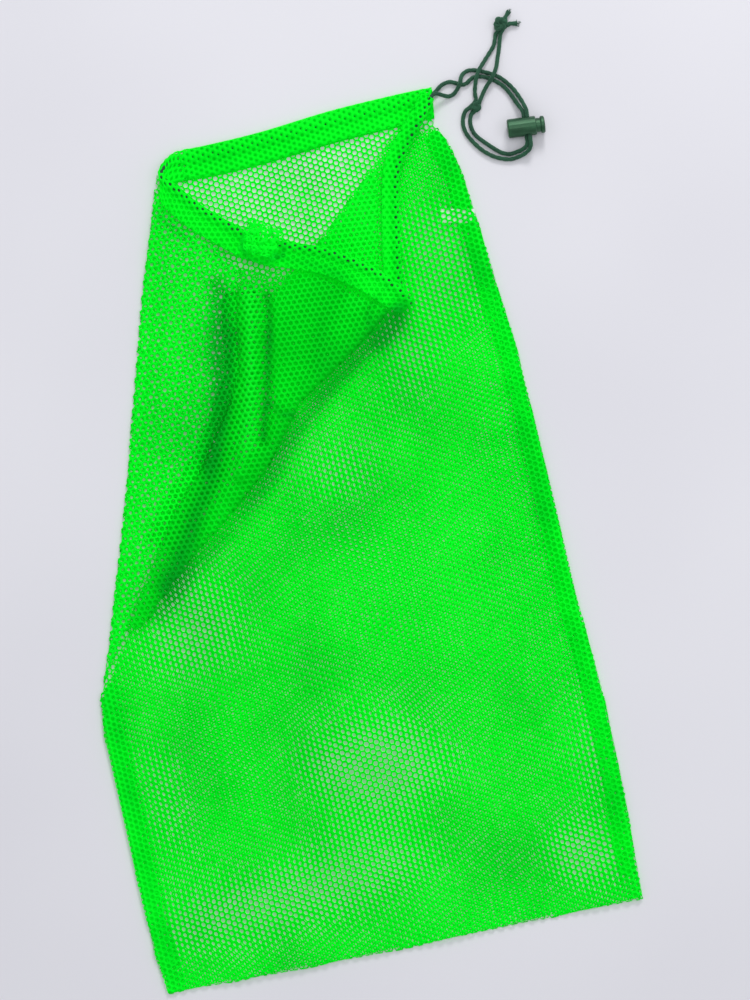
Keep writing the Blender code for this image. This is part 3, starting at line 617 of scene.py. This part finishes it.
class Nodes:
    """A short way to build a node material."""

    def __init__(self, name):
        self.material = bpy.data.materials.new(name)
        self.material.use_nodes = True
        self.tree = self.material.node_tree
        self.shader = self.tree.nodes["Principled BSDF"]
        self.coordinates = self.tree.nodes.new("ShaderNodeTexCoord").outputs["Object"]

    def add(self, kind, inputs=None, **settings):
        node = self.tree.nodes.new(kind)
        for key, value in settings.items():
            setattr(node, key, value)
        for key, value in (inputs or {}).items():
            self.feed(node.inputs[key], value)
        return node

    def noise(self, scale, detail=3, roughness=0.55, vector=None):
        inputs = {"Vector": vector or self.coordinates, "Scale": scale, "Detail": detail, "Roughness": roughness}
        return self.add("ShaderNodeTexNoise", inputs).outputs["Fac"]

    def colour(self, value, *stops):
        node = self.add("ShaderNodeValToRGB", {"Fac": value})
        while len(node.color_ramp.elements) < len(stops):
            node.color_ramp.elements.new(0.5)
        for element, (place, colour) in zip(node.color_ramp.elements, stops):
            element.position = place
            element.color = (*colour, 1)
        self.drive("Base Color", node.outputs["Color"])

    def math(self, operation, a, b):
        return self.add("ShaderNodeMath", {0: a, 1: b}, operation=operation).outputs[0]

    def bump(self, height, strength, distance):
        inputs = {"Height": height, "Strength": strength, "Distance": distance}
        self.drive("Normal", self.add("ShaderNodeBump", inputs).outputs["Normal"])

    def roughen(self, value, low, high):
        inputs = {"Value": value, "To Min": low, "To Max": high}
        self.drive("Roughness", self.add("ShaderNodeMapRange", inputs).outputs["Result"])

    def blend(self, one, share, other):
        """The first value's share and the rest of the other."""
        return self.math("ADD", self.math("MULTIPLY", one, share), self.math("MULTIPLY", other, 1 - share))

    def feed(self, socket, value):
        if isinstance(value, bpy.types.NodeSocket):
            self.tree.links.new(value, socket)
        else:
            socket.default_value = value

    def drive(self, key, value):
        self.feed(self.shader.inputs[key], value)


def floor_material():
    """A matt painted board, almost white with a breath of lavender."""
    nodes = Nodes("painted_board")
    nodes.colour(nodes.noise(2.2, 2), (0.3, (0.70, 0.69, 0.735)), (0.7, (0.77, 0.76, 0.80)))
    grain = nodes.noise(900, 2)
    nodes.drive("Roughness", nodes.math("MULTIPLY_ADD", grain, 0.2))
    nodes.bump(grain, 0.15, 0.0001)
    return nodes.material


def net_material(name, dark, bright, lightest, painted_glow=0.2):
    """Knitted polyester net: bright yarn with fine filaments, slightly uneven dye, painted shade along folds and
    stacked layers, and a painted glow that stands in for light that comes through.
    """
    nodes = Nodes(name)
    dye = nodes.noise(14, 3)
    yarn = nodes.noise(2600, 2, 0.7)
    mixed = nodes.blend(dye, 0.65, yarn)
    # Painted shade: the colour moves towards the darkest stop along folds and stacked layers, and lighter where the
    # map is below zero
    painted_shade = nodes.add("ShaderNodeAttribute", attribute_name="painted_shade").outputs["Fac"]
    shaded_mix = nodes.math("SUBTRACT", mixed, nodes.math("MULTIPLY", painted_shade, PAINTED_SHADE_WEIGHT))
    nodes.colour(shaded_mix, (0.12, DARKEST_PAINTED_SHADE), (0.38, dark), (0.5, bright), (0.66, lightest))
    nodes.roughen(yarn, 0.42, 0.7)
    nodes.bump(yarn, 0.5, 0.00025)
    nodes.drive("Specular IOR Level", 0.18)
    nodes.drive("Specular Tint", (0.1, 1, 0.15, 1))
    # Painted light: a uniform green glow that lifts the net's shade, standing in for light that comes through and
    # bounces in the yarn
    nodes.drive("Emission Color", (0, 1, 0.025, 1))
    nodes.drive("Emission Strength", painted_glow)
    return nodes.material


def cord_material():
    """Braided polyester: dark green filaments with lighter fuzz on the crowns of the braid."""
    nodes = Nodes("cord_braid")
    stretched = nodes.add("ShaderNodeMapping", {"Vector": nodes.coordinates, "Scale": (1, 1, 0.5)}).outputs[0]
    fibre = nodes.noise(2200, 3, 0.7, vector=stretched)
    cloud = nodes.noise(90, 2)
    mixed = nodes.blend(fibre, 0.7, cloud)
    nodes.colour(mixed, (0.34, (0.005, 0.032, 0.017)), (0.66, (0.022, 0.11, 0.055)))
    nodes.roughen(fibre, 0.6, 0.9)
    nodes.bump(fibre, 0.6, 0.0002)
    nodes.drive("Sheen Weight", 0.3)
    nodes.drive("Sheen Tint", (0.45, 1, 0.65, 1))
    nodes.drive("Specular IOR Level", 0.3)
    return nodes.material


def plastic_material():
    """Moulded nylon with a fine spark texture and rubbed spots."""
    nodes = Nodes("lock_nylon")
    spark = nodes.noise(4200, 2, 0.6)
    rubbed = nodes.noise(160, 3)
    nodes.colour(rubbed, (0.35, (0.006, 0.03, 0.014)), (0.7, (0.018, 0.075, 0.036)))
    nodes.roughen(rubbed, 0.28, 0.5)
    nodes.bump(spark, 0.25, 0.0001)
    nodes.drive("Specular IOR Level", 0.8)
    nodes.drive("Specular Tint", (0.5, 1, 0.6, 1))
    return nodes.material


def steel_material():
    nodes = Nodes("spring_wire")
    drawn = nodes.noise(1800, 2)
    nodes.colour(drawn, (0.3, (0.45, 0.45, 0.47)), (0.7, (0.66, 0.66, 0.68)))
    nodes.roughen(drawn, 0.2, 0.4)
    nodes.drive("Metallic", 1)
    return nodes.material


def label_material():
    """Blank satin tape, its weave running along and across."""
    nodes = Nodes("satin_tape")
    warp, weft = (
        nodes.add("ShaderNodeTexWave", {"Vector": nodes.coordinates, "Scale": scale, "Distortion": swerve}, **way)
        for scale, swerve, way in ((700, 0.6, {}), (500, 0.4, {"bands_direction": "Y"}))
    )
    weave = nodes.math("MULTIPLY", warp.outputs["Fac"], weft.outputs["Fac"])
    nodes.colour(weave, (0, (0.66, 0.74, 0.68)), (1, (0.86, 0.9, 0.87)))
    nodes.roughen(weave, 0.35, 0.6)
    nodes.bump(weave, 0.4, 0.0001)
    return nodes.material


# Cords


def frames_along(line):
    """Two directions square to a line, turning as little as possible."""
    tangent = unit(np.gradient(line, axis=0))
    side = np.zeros_like(line)
    side[0] = unit(np.cross(tangent[0], (0, 0, 1)))
    for i in range(1, len(line)):
        side[i] = unit(side[i - 1] - tangent[i] * (side[i - 1] @ tangent[i]))
    return side, np.cross(tangent, side)


def braid(line, diameter, ring=CORD_RING, sides=CORD_SIDES, taper=None):
    """Points and faces of a round braid along a line: eight yarns cross over and under, in real relief."""
    line = evenly(line, ring)
    along = lengths_along(line)[:, None]
    angle = np.linspace(0, 2 * math.pi, sides, endpoint=False)[None]
    lean = 2 * math.pi * along / BRAID_PITCH
    one = np.cos(CARRIERS * angle + lean)
    other = np.cos(CARRIERS * angle - lean)
    radius = diameter / 2 + BRAID_RELIEF * (np.maximum(one, other) - 1)
    if taper is not None:
        radius = radius * taper(along / along[-1])
    return tube(line, angle, radius)


def tube(line, angle, radius):
    """Points and faces of a closed tube round a line."""
    side, upper = (way[:, None] for way in frames_along(line))
    radius, angle = radius[..., None], angle[..., None]
    rings = line[:, None] + radius * np.cos(angle) * side + radius * np.sin(angle) * upper
    index = np.arange(rings[..., 0].size).reshape(rings.shape[:2])
    after = np.roll(index, -1, axis=1)
    quads = np.stack([index[:-1], after[:-1], after[1:], index[1:]], axis=-1).reshape(-1, 4)
    caps = [
        np.stack([end[0:1].repeat(len(end) // 2 - 1), end[1:-2:2], end[2:-1:2], end[3::2]], axis=-1)
        for end in (index[0][::-1], index[-1])
    ]
    return rings.reshape(-1, 3), np.vstack([quads, *caps])


def together(name, parts):
    """One piece from several (points, faces)."""
    counts = np.cumsum([0] + [len(points) for points, _ in parts])
    faces = np.vstack([faces + count for (_, faces), count in zip(parts, counts)])
    return mesh_piece(name, np.vstack([points for points, _ in parts]), faces)


def threads(name, lines, diameter, sides=4):
    """Plain round threads along the lines, as one piece."""
    angle = np.linspace(0, 2 * math.pi, sides, endpoint=False)[None]
    radius = diameter / 2
    return together(name, [tube(np.asarray(line), angle, np.full((len(line), 1), radius)) for line in lines])


def overhand(centre, entry, leaving, size, rise, swing):
    """The way of a strand through an overhand knot: a cut trefoil between where it enters and leaves."""
    entry, leaving, centre = (np.array(p, float) for p in (entry, leaving, centre))
    angle = math.atan2(*(leaving - entry)[1::-1]) + swing
    along = np.array([math.cos(angle), math.sin(angle), 0])
    across = np.array([-math.sin(angle), math.cos(angle), 0])
    t = np.linspace(math.pi + KNOT_GAP, 3 * math.pi - KNOT_GAP, 26)
    loop = (
        centre
        + size * (np.sin(t) + 2 * np.sin(2 * t))[:, None] * along
        + size * (np.cos(t) - 2 * np.cos(2 * t))[:, None] * across
        - rise * np.sin(3 * t)[:, None] * np.array([0, 0, 1])
    )
    return smooth_line([entry, *loop, leaving], 0.8)


def beside(line, side):
    """A place function along a line on the table: distance along, and distance to the line's left or right."""
    course = smooth_line([(x, y) for x, y in line], 4)
    at = lengths_along(course)
    ahead = unit(np.gradient(course, axis=0))

    def where(along, away):
        facing = read(along, at, ahead)
        return read(along, at, course) + side * away[:, None] * np.column_stack([-facing[:, 1], facing[:, 0]])

    return at[-1], where


def slab(name, grid, thickness):
    """A closed slab from a grid of places at its middle."""
    rows, columns = grid.shape[:2]
    flat = grid.reshape(-1, 3)
    ahead = np.gradient(grid, axis=0).reshape(-1, 3)
    aside = np.gradient(grid, axis=1).reshape(-1, 3)
    normal = unit(np.cross(ahead, aside))
    count = len(flat)
    points = np.vstack([flat + normal * thickness / 2, flat - normal * thickness / 2])
    index = np.arange(count).reshape(rows, columns)
    upper = np.stack([index[:-1, :-1], index[1:, :-1], index[1:, 1:], index[:-1, 1:]], axis=-1).reshape(-1, 4)
    rim = np.concatenate([index[0, :-1], index[:-1, -1], index[-1, :0:-1], index[:0:-1, 0]])
    after = np.roll(rim, -1)
    sides = np.column_stack([rim, after, after + count, rim + count])
    return mesh_piece(name, points, np.vstack([upper, upper[:, ::-1] + count, sides]))


def dress(piece, material, slot, *nodes):
    """Gives a piece its material and its place in the assembly. The slot is not used."""
    piece.data.materials.append(material)
    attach(piece, "bag")
    if nodes:
        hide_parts(*nodes)
    return piece


# Build

make_camera()
NET = net_material("net_yarn", (0, 0.66, 0.01), (0.001, 0.8, 0.012), (0.004, 0.88, 0.02))
HEM_NET = net_material("hem_yarn", (0, 0.64, 0.008), (0.001, 0.78, 0.01), (0.003, 0.86, 0.016))
# Painted shade: a darker copy of the net's yarn with half the painted glow, for the flap and the upper seam allowance
# where the cloth is stacked
SHADED_NET = net_material("shaded_yarn", (0, 0.56, 0.008), (0, 0.7, 0.01), (0.002, 0.78, 0.016), 0.1)
THREAD = net_material("sewing_thread", (0, 0.5, 0.01), (0.001, 0.7, 0.012), (0.01, 0.8, 0.03))
BRAID = cord_material()
NYLON = plastic_material()

for letter, head, end, length in FREE_CORDS:
    route = smooth_line([*head, *end], 2)
    cord = together(f"cord_{letter}", [braid(route, CORD)])
    dress(cord, BRAID, "cord", f"cord_strand_{letter}", f"cord_end_{letter}")

knots = [
    dress(together(name, [braid(overhand(centre, *way), KNOT_CORD) for way in ways]), BRAID, "cord", node)
    for name, node, centre, ways in KNOTS
]

random = np.random.default_rng(5)
for name, route in TAILS:
    tail = together(name, [braid(smooth_line(route, 1), TAIL_CORD, taper=lambda t: 1 + 0.3 * t**3)])
    end = np.array(route[-1])
    ahead = unit(end - np.array(route[-2]))
    fibres = []
    for _ in range(FRAYED):
        start = end - 0.5 * ahead + random.normal(0, FRAY_SPREAD, 3)
        start[2] = max(start[2], 0.6)
        tip = start + ahead * random.uniform(*FRAY_LENGTH) + random.normal(0, 0.6, 3)
        tip[2] = max(tip[2], 0.3)
        fibres.append(smooth_line([start, (start + tip) / 2 + random.normal(0, 0.15, 3), tip], 0.5))
    dress(tail, BRAID, "cord", f"cord_{name}")
    dress(threads(f"fray_{name}", fibres, FIBRE), BRAID, "cord")

lock_nodes = [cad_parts[n] for n in ("cord_lock_barrel", "cord_lock_plunger", "cord_lock_spring")]
for obj, material in zip(lock_nodes, (NYLON, NYLON, steel_material())):
    obj.data.materials.clear()
    obj.data.materials.append(material)

# Panels
front_height = height_field(FRONT_EDGE_HEIGHTS + raised(PLEAT_FOLD, PLEAT_HEIGHTS) + FRONT_HEIGHTS)
seam_places = raised(SEAM_LINE[1:], SEAM_HEIGHTS)
wrap_height = height_field(WRAP_HEIGHTS + seam_places)
flap_field = height_field(raised(DIAGONAL_FOLD[1:], DIAGONAL_HEIGHTS) + FLAP_HEIGHTS + seam_places)


def back_height(where):
    return BACK_LIES + ripple(where, [(0.12, 61, 20, 0.4), (0.1, 43, 110, 1.3)])


def front_surface(where):
    waves = [(0.5, 120, 25, 0.3), (0.35, 71, 100, 1.9), (0.25, 47, 150, 0.8)]
    return front_height(where) + ripple(where, waves) + folds(where, FRONT_FOLDS)


def level(height):
    """A surface at one height."""
    return lambda where: np.full(len(where), height)


def over(surface, step):
    """The surface that lies a step over another."""
    return lambda where: surface(where) + step


turnback_surface = over(front_surface, LAYER_STEP)
under_turnback = over(front_surface, LAYER_STEP / 2)
seam_height = over(wrap_height, 0.3)
edge_low, edge_high = level(1.1), level(2.4)


def flap_surface(where):
    lowest = front_surface(where) + 2 * LAYER_STEP
    return np.maximum(flap_field(where) + folds(where, FLAP_FOLDS), lowest)


def wrap_surface(where):
    lying = np.clip(wrap_height(where) + folds(where, WRAP_FOLDS), *WRAP_LIMITS)
    return lying + ripple(where, [(0.25, 52, 30, 0.2)])


def alike(where):
    """How nearly the front layer's holes fall on the back layer's, from 0 to 1."""
    total = np.zeros(len(where))
    for x, y, wide, high, share in LIGHT_PATCHES:
        total += share * np.exp(-(((where[:, 0] - x) / wide) ** 2) - ((where[:, 1] - y) / high) ** 2)
    return np.clip(total, 0, 1)


def drift(where):
    """How far the front layer's holes lie from the back layer's: mostly over its strands, and less at the patches."""
    aside = 2 / 3 * COLUMN * (1 - alike(where))
    return (EYE_FOOT - where) * front_surface(where)[:, None] / EYE_HEIGHT + np.column_stack([
        aside + ripple(where, [(0.25, 150, 10, 0.3), (0.15, 67, 75, 1.1)]),
        ripple(where, [(0.3, 130, 95, 2.1), (0.2, 59, 40, 0.5)]),
    ])


OVER_LEFT, FROM_LEFT = mirror_over([(-181.5, -84), (-64, 283)])
MIRRORED = np.diag([1, -1])
BELOW = np.array([0, -141 * PITCH])  # a whole number of holes, so that both layers' holes can fall together


def under_flap(where):
    return (turnback_surface(where) + flap_surface(where)) / 2


# Name, CAD node, number of pieces, hole share, surface, how the flat cloth is turned and moved onto its place, how
# its holes drift, how it's held, and its sides
PANELS = (
    ("net_back", "back_panel", 2, HOLE_SHARE, back_height, STRAIGHT, ORIGIN, None, "laid", [
        ("fold", BOTTOM_EDGE, front_surface), ("seam", RIGHT_EDGE, edge_low), ("seam", HEM_INNER, back_height),
        ("fold", LEFT_FOLD[::-1], wrap_surface), ("seam", LOWER_LEFT[::-1], edge_low),
    ]),
    ("net_front", "front_panel", 2, HOLE_SHARE, front_surface, MIRRORED, BELOW, drift, "laid", [
        ("fold", BOTTOM_EDGE, back_height), ("seam", [*RIGHT_EDGE[:-1], (160, 283)], edge_high),
        ("free", [(160, 283), (124.5, 284)], None), ("seam", PLEAT_FOLD[::-1], under_turnback),
        ("seam", [(-143, -23), (-169, -61), (-182.4, -80)], front_surface),
        ("seam", LOWER_LEFT[::-1], edge_high),
    ]),
    ("net_turnback", "front_panel_turnback", 1, 0.48, turnback_surface, turned(84), ORIGIN, None, "folded", [
        ("fold", [*PLEAT_FOLD[:-1], (103, 263)], front_surface), ("free", [(103, 263), (108.5, 258)], None),
        ("seam", [(108.5, 258), (99.5, 217), (93, 181), (94.5, 155.5)], turnback_surface),
        ("seam", DIAGONAL_FOLD[::-1], under_flap), ("free", [(-134, -30), (-143, -23)], None),
    ]),
    ("net_wrap", "back_panel_wrap", 1, 0.6, wrap_surface, OVER_LEFT, FROM_LEFT, None, "folded", [
        ("fold", LEFT_FOLD, back_height), ("seam", WRAP_TOP, wrap_surface),
        ("seam", SEAM_LINE[::-1], seam_height), ("free", [(-178, -69), (-182.4, -80)], None),
    ]),
    ("net_flap", "front_flap", 1, 0.4, flap_surface, turned(-36), ORIGIN, None, "folded", [
        ("seam", SEAM_LINE[1:], seam_height), ("seam", FLAP_TOP, flap_surface),
        ("fold", DIAGONAL_FOLD[::-1], turnback_surface), ("free", [(-134, -30), (-152, -34)], None),
    ]),
)
for name, node, count, share, height, transform, origin, shift, held, sides in PANELS:
    polygon, place = layer(sides, height, transform, origin, shift)
    cells = lattice(polygon, transform, origin, shift)
    for number, keys in enumerate(split(cells, count)):
        laid = local(keys) @ transform.T + origin
        opened = soft_step((laid[:, 1] - MOUTH_FROM) / MOUTH_LENGTH) * (name == "net_back")
        opened = opened + ALIKE_SIZE * alike(laid) * (laid[:, 1] < PATCHES_BELOW)
        hole = share + STRETCHED * opened * (share == HOLE_SHARE) + folds(laid, HOLE_CHANGES.get(name, []))
        piece = net(f"{name}_{number + 1}" if count > 1 else name, keys, place, hole)
        dress(piece, SHADED_NET if name == "net_flap" else NET, "net", node)

# Hem casing, one lattice all the way round the mouth
stations = smooth_line([(*place, *facts) for place, facts in zip(DRAWCORD_ROUTE, CASING)], 3)
station_at = lengths_along(stations[:, :3])
route_at = [station_at[np.argmin(np.linalg.norm(stations[:, :3] - p, axis=1))] for p in np.array(DRAWCORD_ROUTE)]


def casing_frame(at):
    """The cord's place, the directions to the net and to the turned side, and the casing's facts, along the hem."""
    found = read(at, station_at, stations)
    heading, turn = np.radians(found[:, 3]), np.radians(found[:, 4])
    inward = np.column_stack([np.cos(heading), np.sin(heading), np.zeros(len(at))])
    outward = np.column_stack([inward[:, 1], -inward[:, 0], np.zeros(len(at))])
    up = np.outer(np.cos(turn), (0, 0, 1)) - np.sin(turn)[:, None] * outward
    return found[:, :3], inward, up, turn, found[:, 5], found[:, 6]


def casing_section(reach, turn):
    """How far the casing's middle sinks and how far its layers are apart, at a distance from the cord."""
    flattened = soft_step(np.maximum(reach, 0) / (2.2 * CASING_ROLL))
    return -CASING_SINK * np.cos(turn) * flattened, CASING_ROLL + (CASING_GAP - CASING_ROLL) * flattened


def casing_place(flat):
    """Where the hem's cloth lies: under the cord, round it, back over it, and turned in between."""
    at, width = flat.T
    centre, inward, up, turn, lip, tail = casing_frame(at)
    around = HALF_ROLL + 2 * lip
    width = np.clip(width, 0, 2 * tail + around + TURNED_IN)
    squeezed = TURNED_DEPTH / TURNED_IN
    over = width - tail
    back = over - around
    inner = back - tail
    bend = np.clip(over / around, 0, 1) * math.pi
    reach = np.select(
        [over < 0, back < 0, inner < 0], [-over, -(CASING_ROLL + lip) * np.sin(bend), back],
        tail - inner * squeezed,
    )
    middle, gap = casing_section(reach, turn)
    rolled = -CASING_ROLL * np.cos(bend)
    tuck = soft_step(inner / 2.5)
    rise = np.select([over < 0, back < 0, inner < 0], [middle - gap, rolled, middle + gap], middle + gap * (1 - tuck))
    return centre + inward * reach[:, None] + up * rise[:, None]


casing_cells = strip(station_at[-1], 2 * CASING_WIDEST + HALF_ROLL + TURNED_IN)
at, width = local(casing_cells).T
*_, lips, inner = casing_frame(at)
kept = width < 2 * inner + HALF_ROLL + 2 * lips + TURNED_IN
casing_cells, at = casing_cells[kept], at[kept]
denser = soft_step(((width - inner)[kept] - HALF_ROLL - 2) / 5)
casing_holes = CORD_HOLE_SHARE + (HEM_HOLE_SHARE - CORD_HOLE_SHARE) * denser
for node, (first, last) in STRETCHES.items():
    low = -1 if first == 0 else route_at[first]
    high = math.inf if last == len(CASING) - 1 else route_at[last]
    chosen = (at >= low) & (at < high)
    piece = net(f"casing_{node}", casing_cells[chosen], casing_place, casing_holes[chosen], CASING_UNEVEN)
    dress(piece, HEM_NET, "net", node)

whole_cord = [STRAND_B[0], *DRAWCORD_ROUTE[1:-1], (159, 304.2, 9.8), STRAND_A[0]]
hidden_braid = braid(smooth_line(whole_cord, 3), CORD, ring=0.7, sides=16)
dress(together("casing_cord", [hidden_braid]), BRAID, "cord", "drawcord")

# Seam allowances, both layers of each turned inside, with an overlock thread along the raw edge
low, high = ALLOWANCE_HEIGHTS
for name, line, inward in (("right", RIGHT_SEAM, 1), ("left", LEFT_SEAM, -1)):
    length, where = beside(line, inward)

    def allowance(flat):
        away = np.maximum(SEAM_ALLOWANCE - np.abs(SEAM_ALLOWANCE - flat[:, 1]), 0)
        middle = where(flat[:, 0], away + 0.6 + ripple(flat, [(0.5, 46, 0, 0.4)]))
        under = flat[:, 1] < SEAM_ALLOWANCE
        risen = soft_step(away / 9)
        height = np.where(under, low, high) + risen * np.where(under, 0.4, 1.2)
        return np.column_stack([middle, height + risen * ripple(flat, [(0.12, 31, 20, 0.9)])])

    node = f"{name}_side_seam"
    piece = net(f"seam_{name}", strip(length, 2 * SEAM_ALLOWANCE), allowance)
    dress(piece, NET, "net", node)
    count = round(length / OVERLOCK_STEP)
    swing = np.arange(count) % 2
    course = where(np.linspace(2, length - 2, count), np.where(swing == 0, *OVERLOCK_EDGES))
    line = np.column_stack([course, np.where(swing == 0, high + 0.75, low - 0.7)])
    dress(threads(f"overlock_{name}", [line], THREAD_SIZE), THREAD, "thread", f"{name}_seam_thread")

length, where = beside([(-112, 24), *SEAM_LINE[3:-1]], 1)


def upper_allowance(flat):
    """Both layers of the allowance, spread to either side of the seam below the folded-over cloth."""
    middle = where(flat[:, 0], 12 - np.abs(SPREAD - flat[:, 1]))
    above = np.minimum(wrap_surface(middle), flap_surface(middle))
    height = above - np.where(flat[:, 1] < SPREAD, 1.5, 2.7) + ripple(flat, [(0.2, 23, 10, 0.2)])
    return np.column_stack([middle, np.maximum(height, 2.2)])


piece = net("seam_left_upper", strip(length, 2 * SPREAD), upper_allowance)
dress(piece, SHADED_NET, "net", "left_side_seam_upper")

# The left seam's end, caught in the hem as a soft bunched lump
LUMP_SIZE = np.array([40, 34])
LUMP_PLACE = np.array([13, 228.5, 21.6])
LUMP_DRAWN = 0.66


def bunched(flat):
    """Crumpled cloth, drawn together to two thirds of its size with its edges turned down."""
    u, v = (2 * flat / LUMP_SIZE - 1).T
    rise = 3.2 * (1 - u**2) + 2.2 * (1 - v**2) + ripple(flat, [(1.3, 11.5, 20, 0.2), (1.1, 9.3, 105, 1.2)])
    spread = (flat - LUMP_SIZE / 2) * LUMP_DRAWN + np.column_stack([
        ripple(flat, [(0.9, 11, 70, 0.4), (0.5, 6.1, 10, 1.5)]),
        ripple(flat, [(0.9, 10, 160, 1.4), (0.5, 6.7, 95, 0.3)]),
    ])
    return np.column_stack([LUMP_PLACE[:2] + spread @ turned(-32).T, LUMP_PLACE[2] + rise - 2.4])


piece = net("seam_lump", strip(*LUMP_SIZE), bunched, CORD_HOLE_SHARE, CASING_UNEVEN)
# Painted light: a brighter copy of the yarn with more painted glow, so that the crumpled lump shows less of its own
# shade
GLOWING_NET = net_material("glowing_yarn", (0, 0.66, 0.01), (0.002, 0.8, 0.014), (0.006, 0.9, 0.02), 0.3)
dress(piece, GLOWING_NET, "net", "seam_junction")

# Hem stitches, through both layers near the inner edge
for part in ("back", "wrap", "flap", "turnback"):
    first, last = STRETCHES[f"hem_{part}"]
    starts = np.arange(route_at[first] + 1, route_at[last] - STITCH, STITCH + STITCH_GAP)
    lines = []
    for face in (1, -1):
        for step in STITCH_SINKS:
            centre, inward, up, turn, _, inner = casing_frame(starts + step * STITCH)
            middle, gap = casing_section(inner - STITCH_INSET, turn)
            rise = middle + face * (gap + STITCH_LIFTS[step in (0, 1)])
            lines.append(centre + inward * (inner - STITCH_INSET)[:, None] + up * rise[:, None])
    course = np.array(lines).reshape(2, 5, len(starts), 3).transpose(0, 2, 1, 3).reshape(-1, 5, 3)
    dress(threads(f"thread_{part}", course, THREAD_SIZE), THREAD, "thread", f"hem_stitch_{part}")

# Bar tack: a tight zigzag of thread through the casing's two ends, (low, high) along each axis
steps = np.arange(57)
tack_x, tack_y, tack_z = (158.6, 160.4), (297.8, 304.2), (0.8, 9.2)
tack = np.column_stack([
    np.where(steps % 4 < 2, *tack_x), np.linspace(*tack_y, len(steps)), np.where((steps + 1) % 4 < 2, *tack_z)
])
dress(threads("bar_tack", [tack], 0.6, sides=6), THREAD, "thread", "mouth_bar_tack")

# Care label: a blank satin tape that lies just under the front net, its end caught in the side seam
length, width = LABEL_SIZE
along, across = np.meshgrid(np.linspace(0, length, 36), np.linspace(-width / 2, width / 2, 14), indexing="ij")
flat = np.column_stack([along.ravel(), across.ravel()])
where_label = LABEL_PLACE + flat @ turned(LABEL_TURN).T
label_height = front_surface(where_label) - LABEL_DEPTH + ripple(flat, [(0.2, 17, 15, 0.4)])
piece = slab("label_tape", np.column_stack([where_label, label_height]).reshape(*along.shape, 3), LABEL_THICKNESS)
dress(piece, label_material(), "label", "care_label")

make_floor()
make_light()
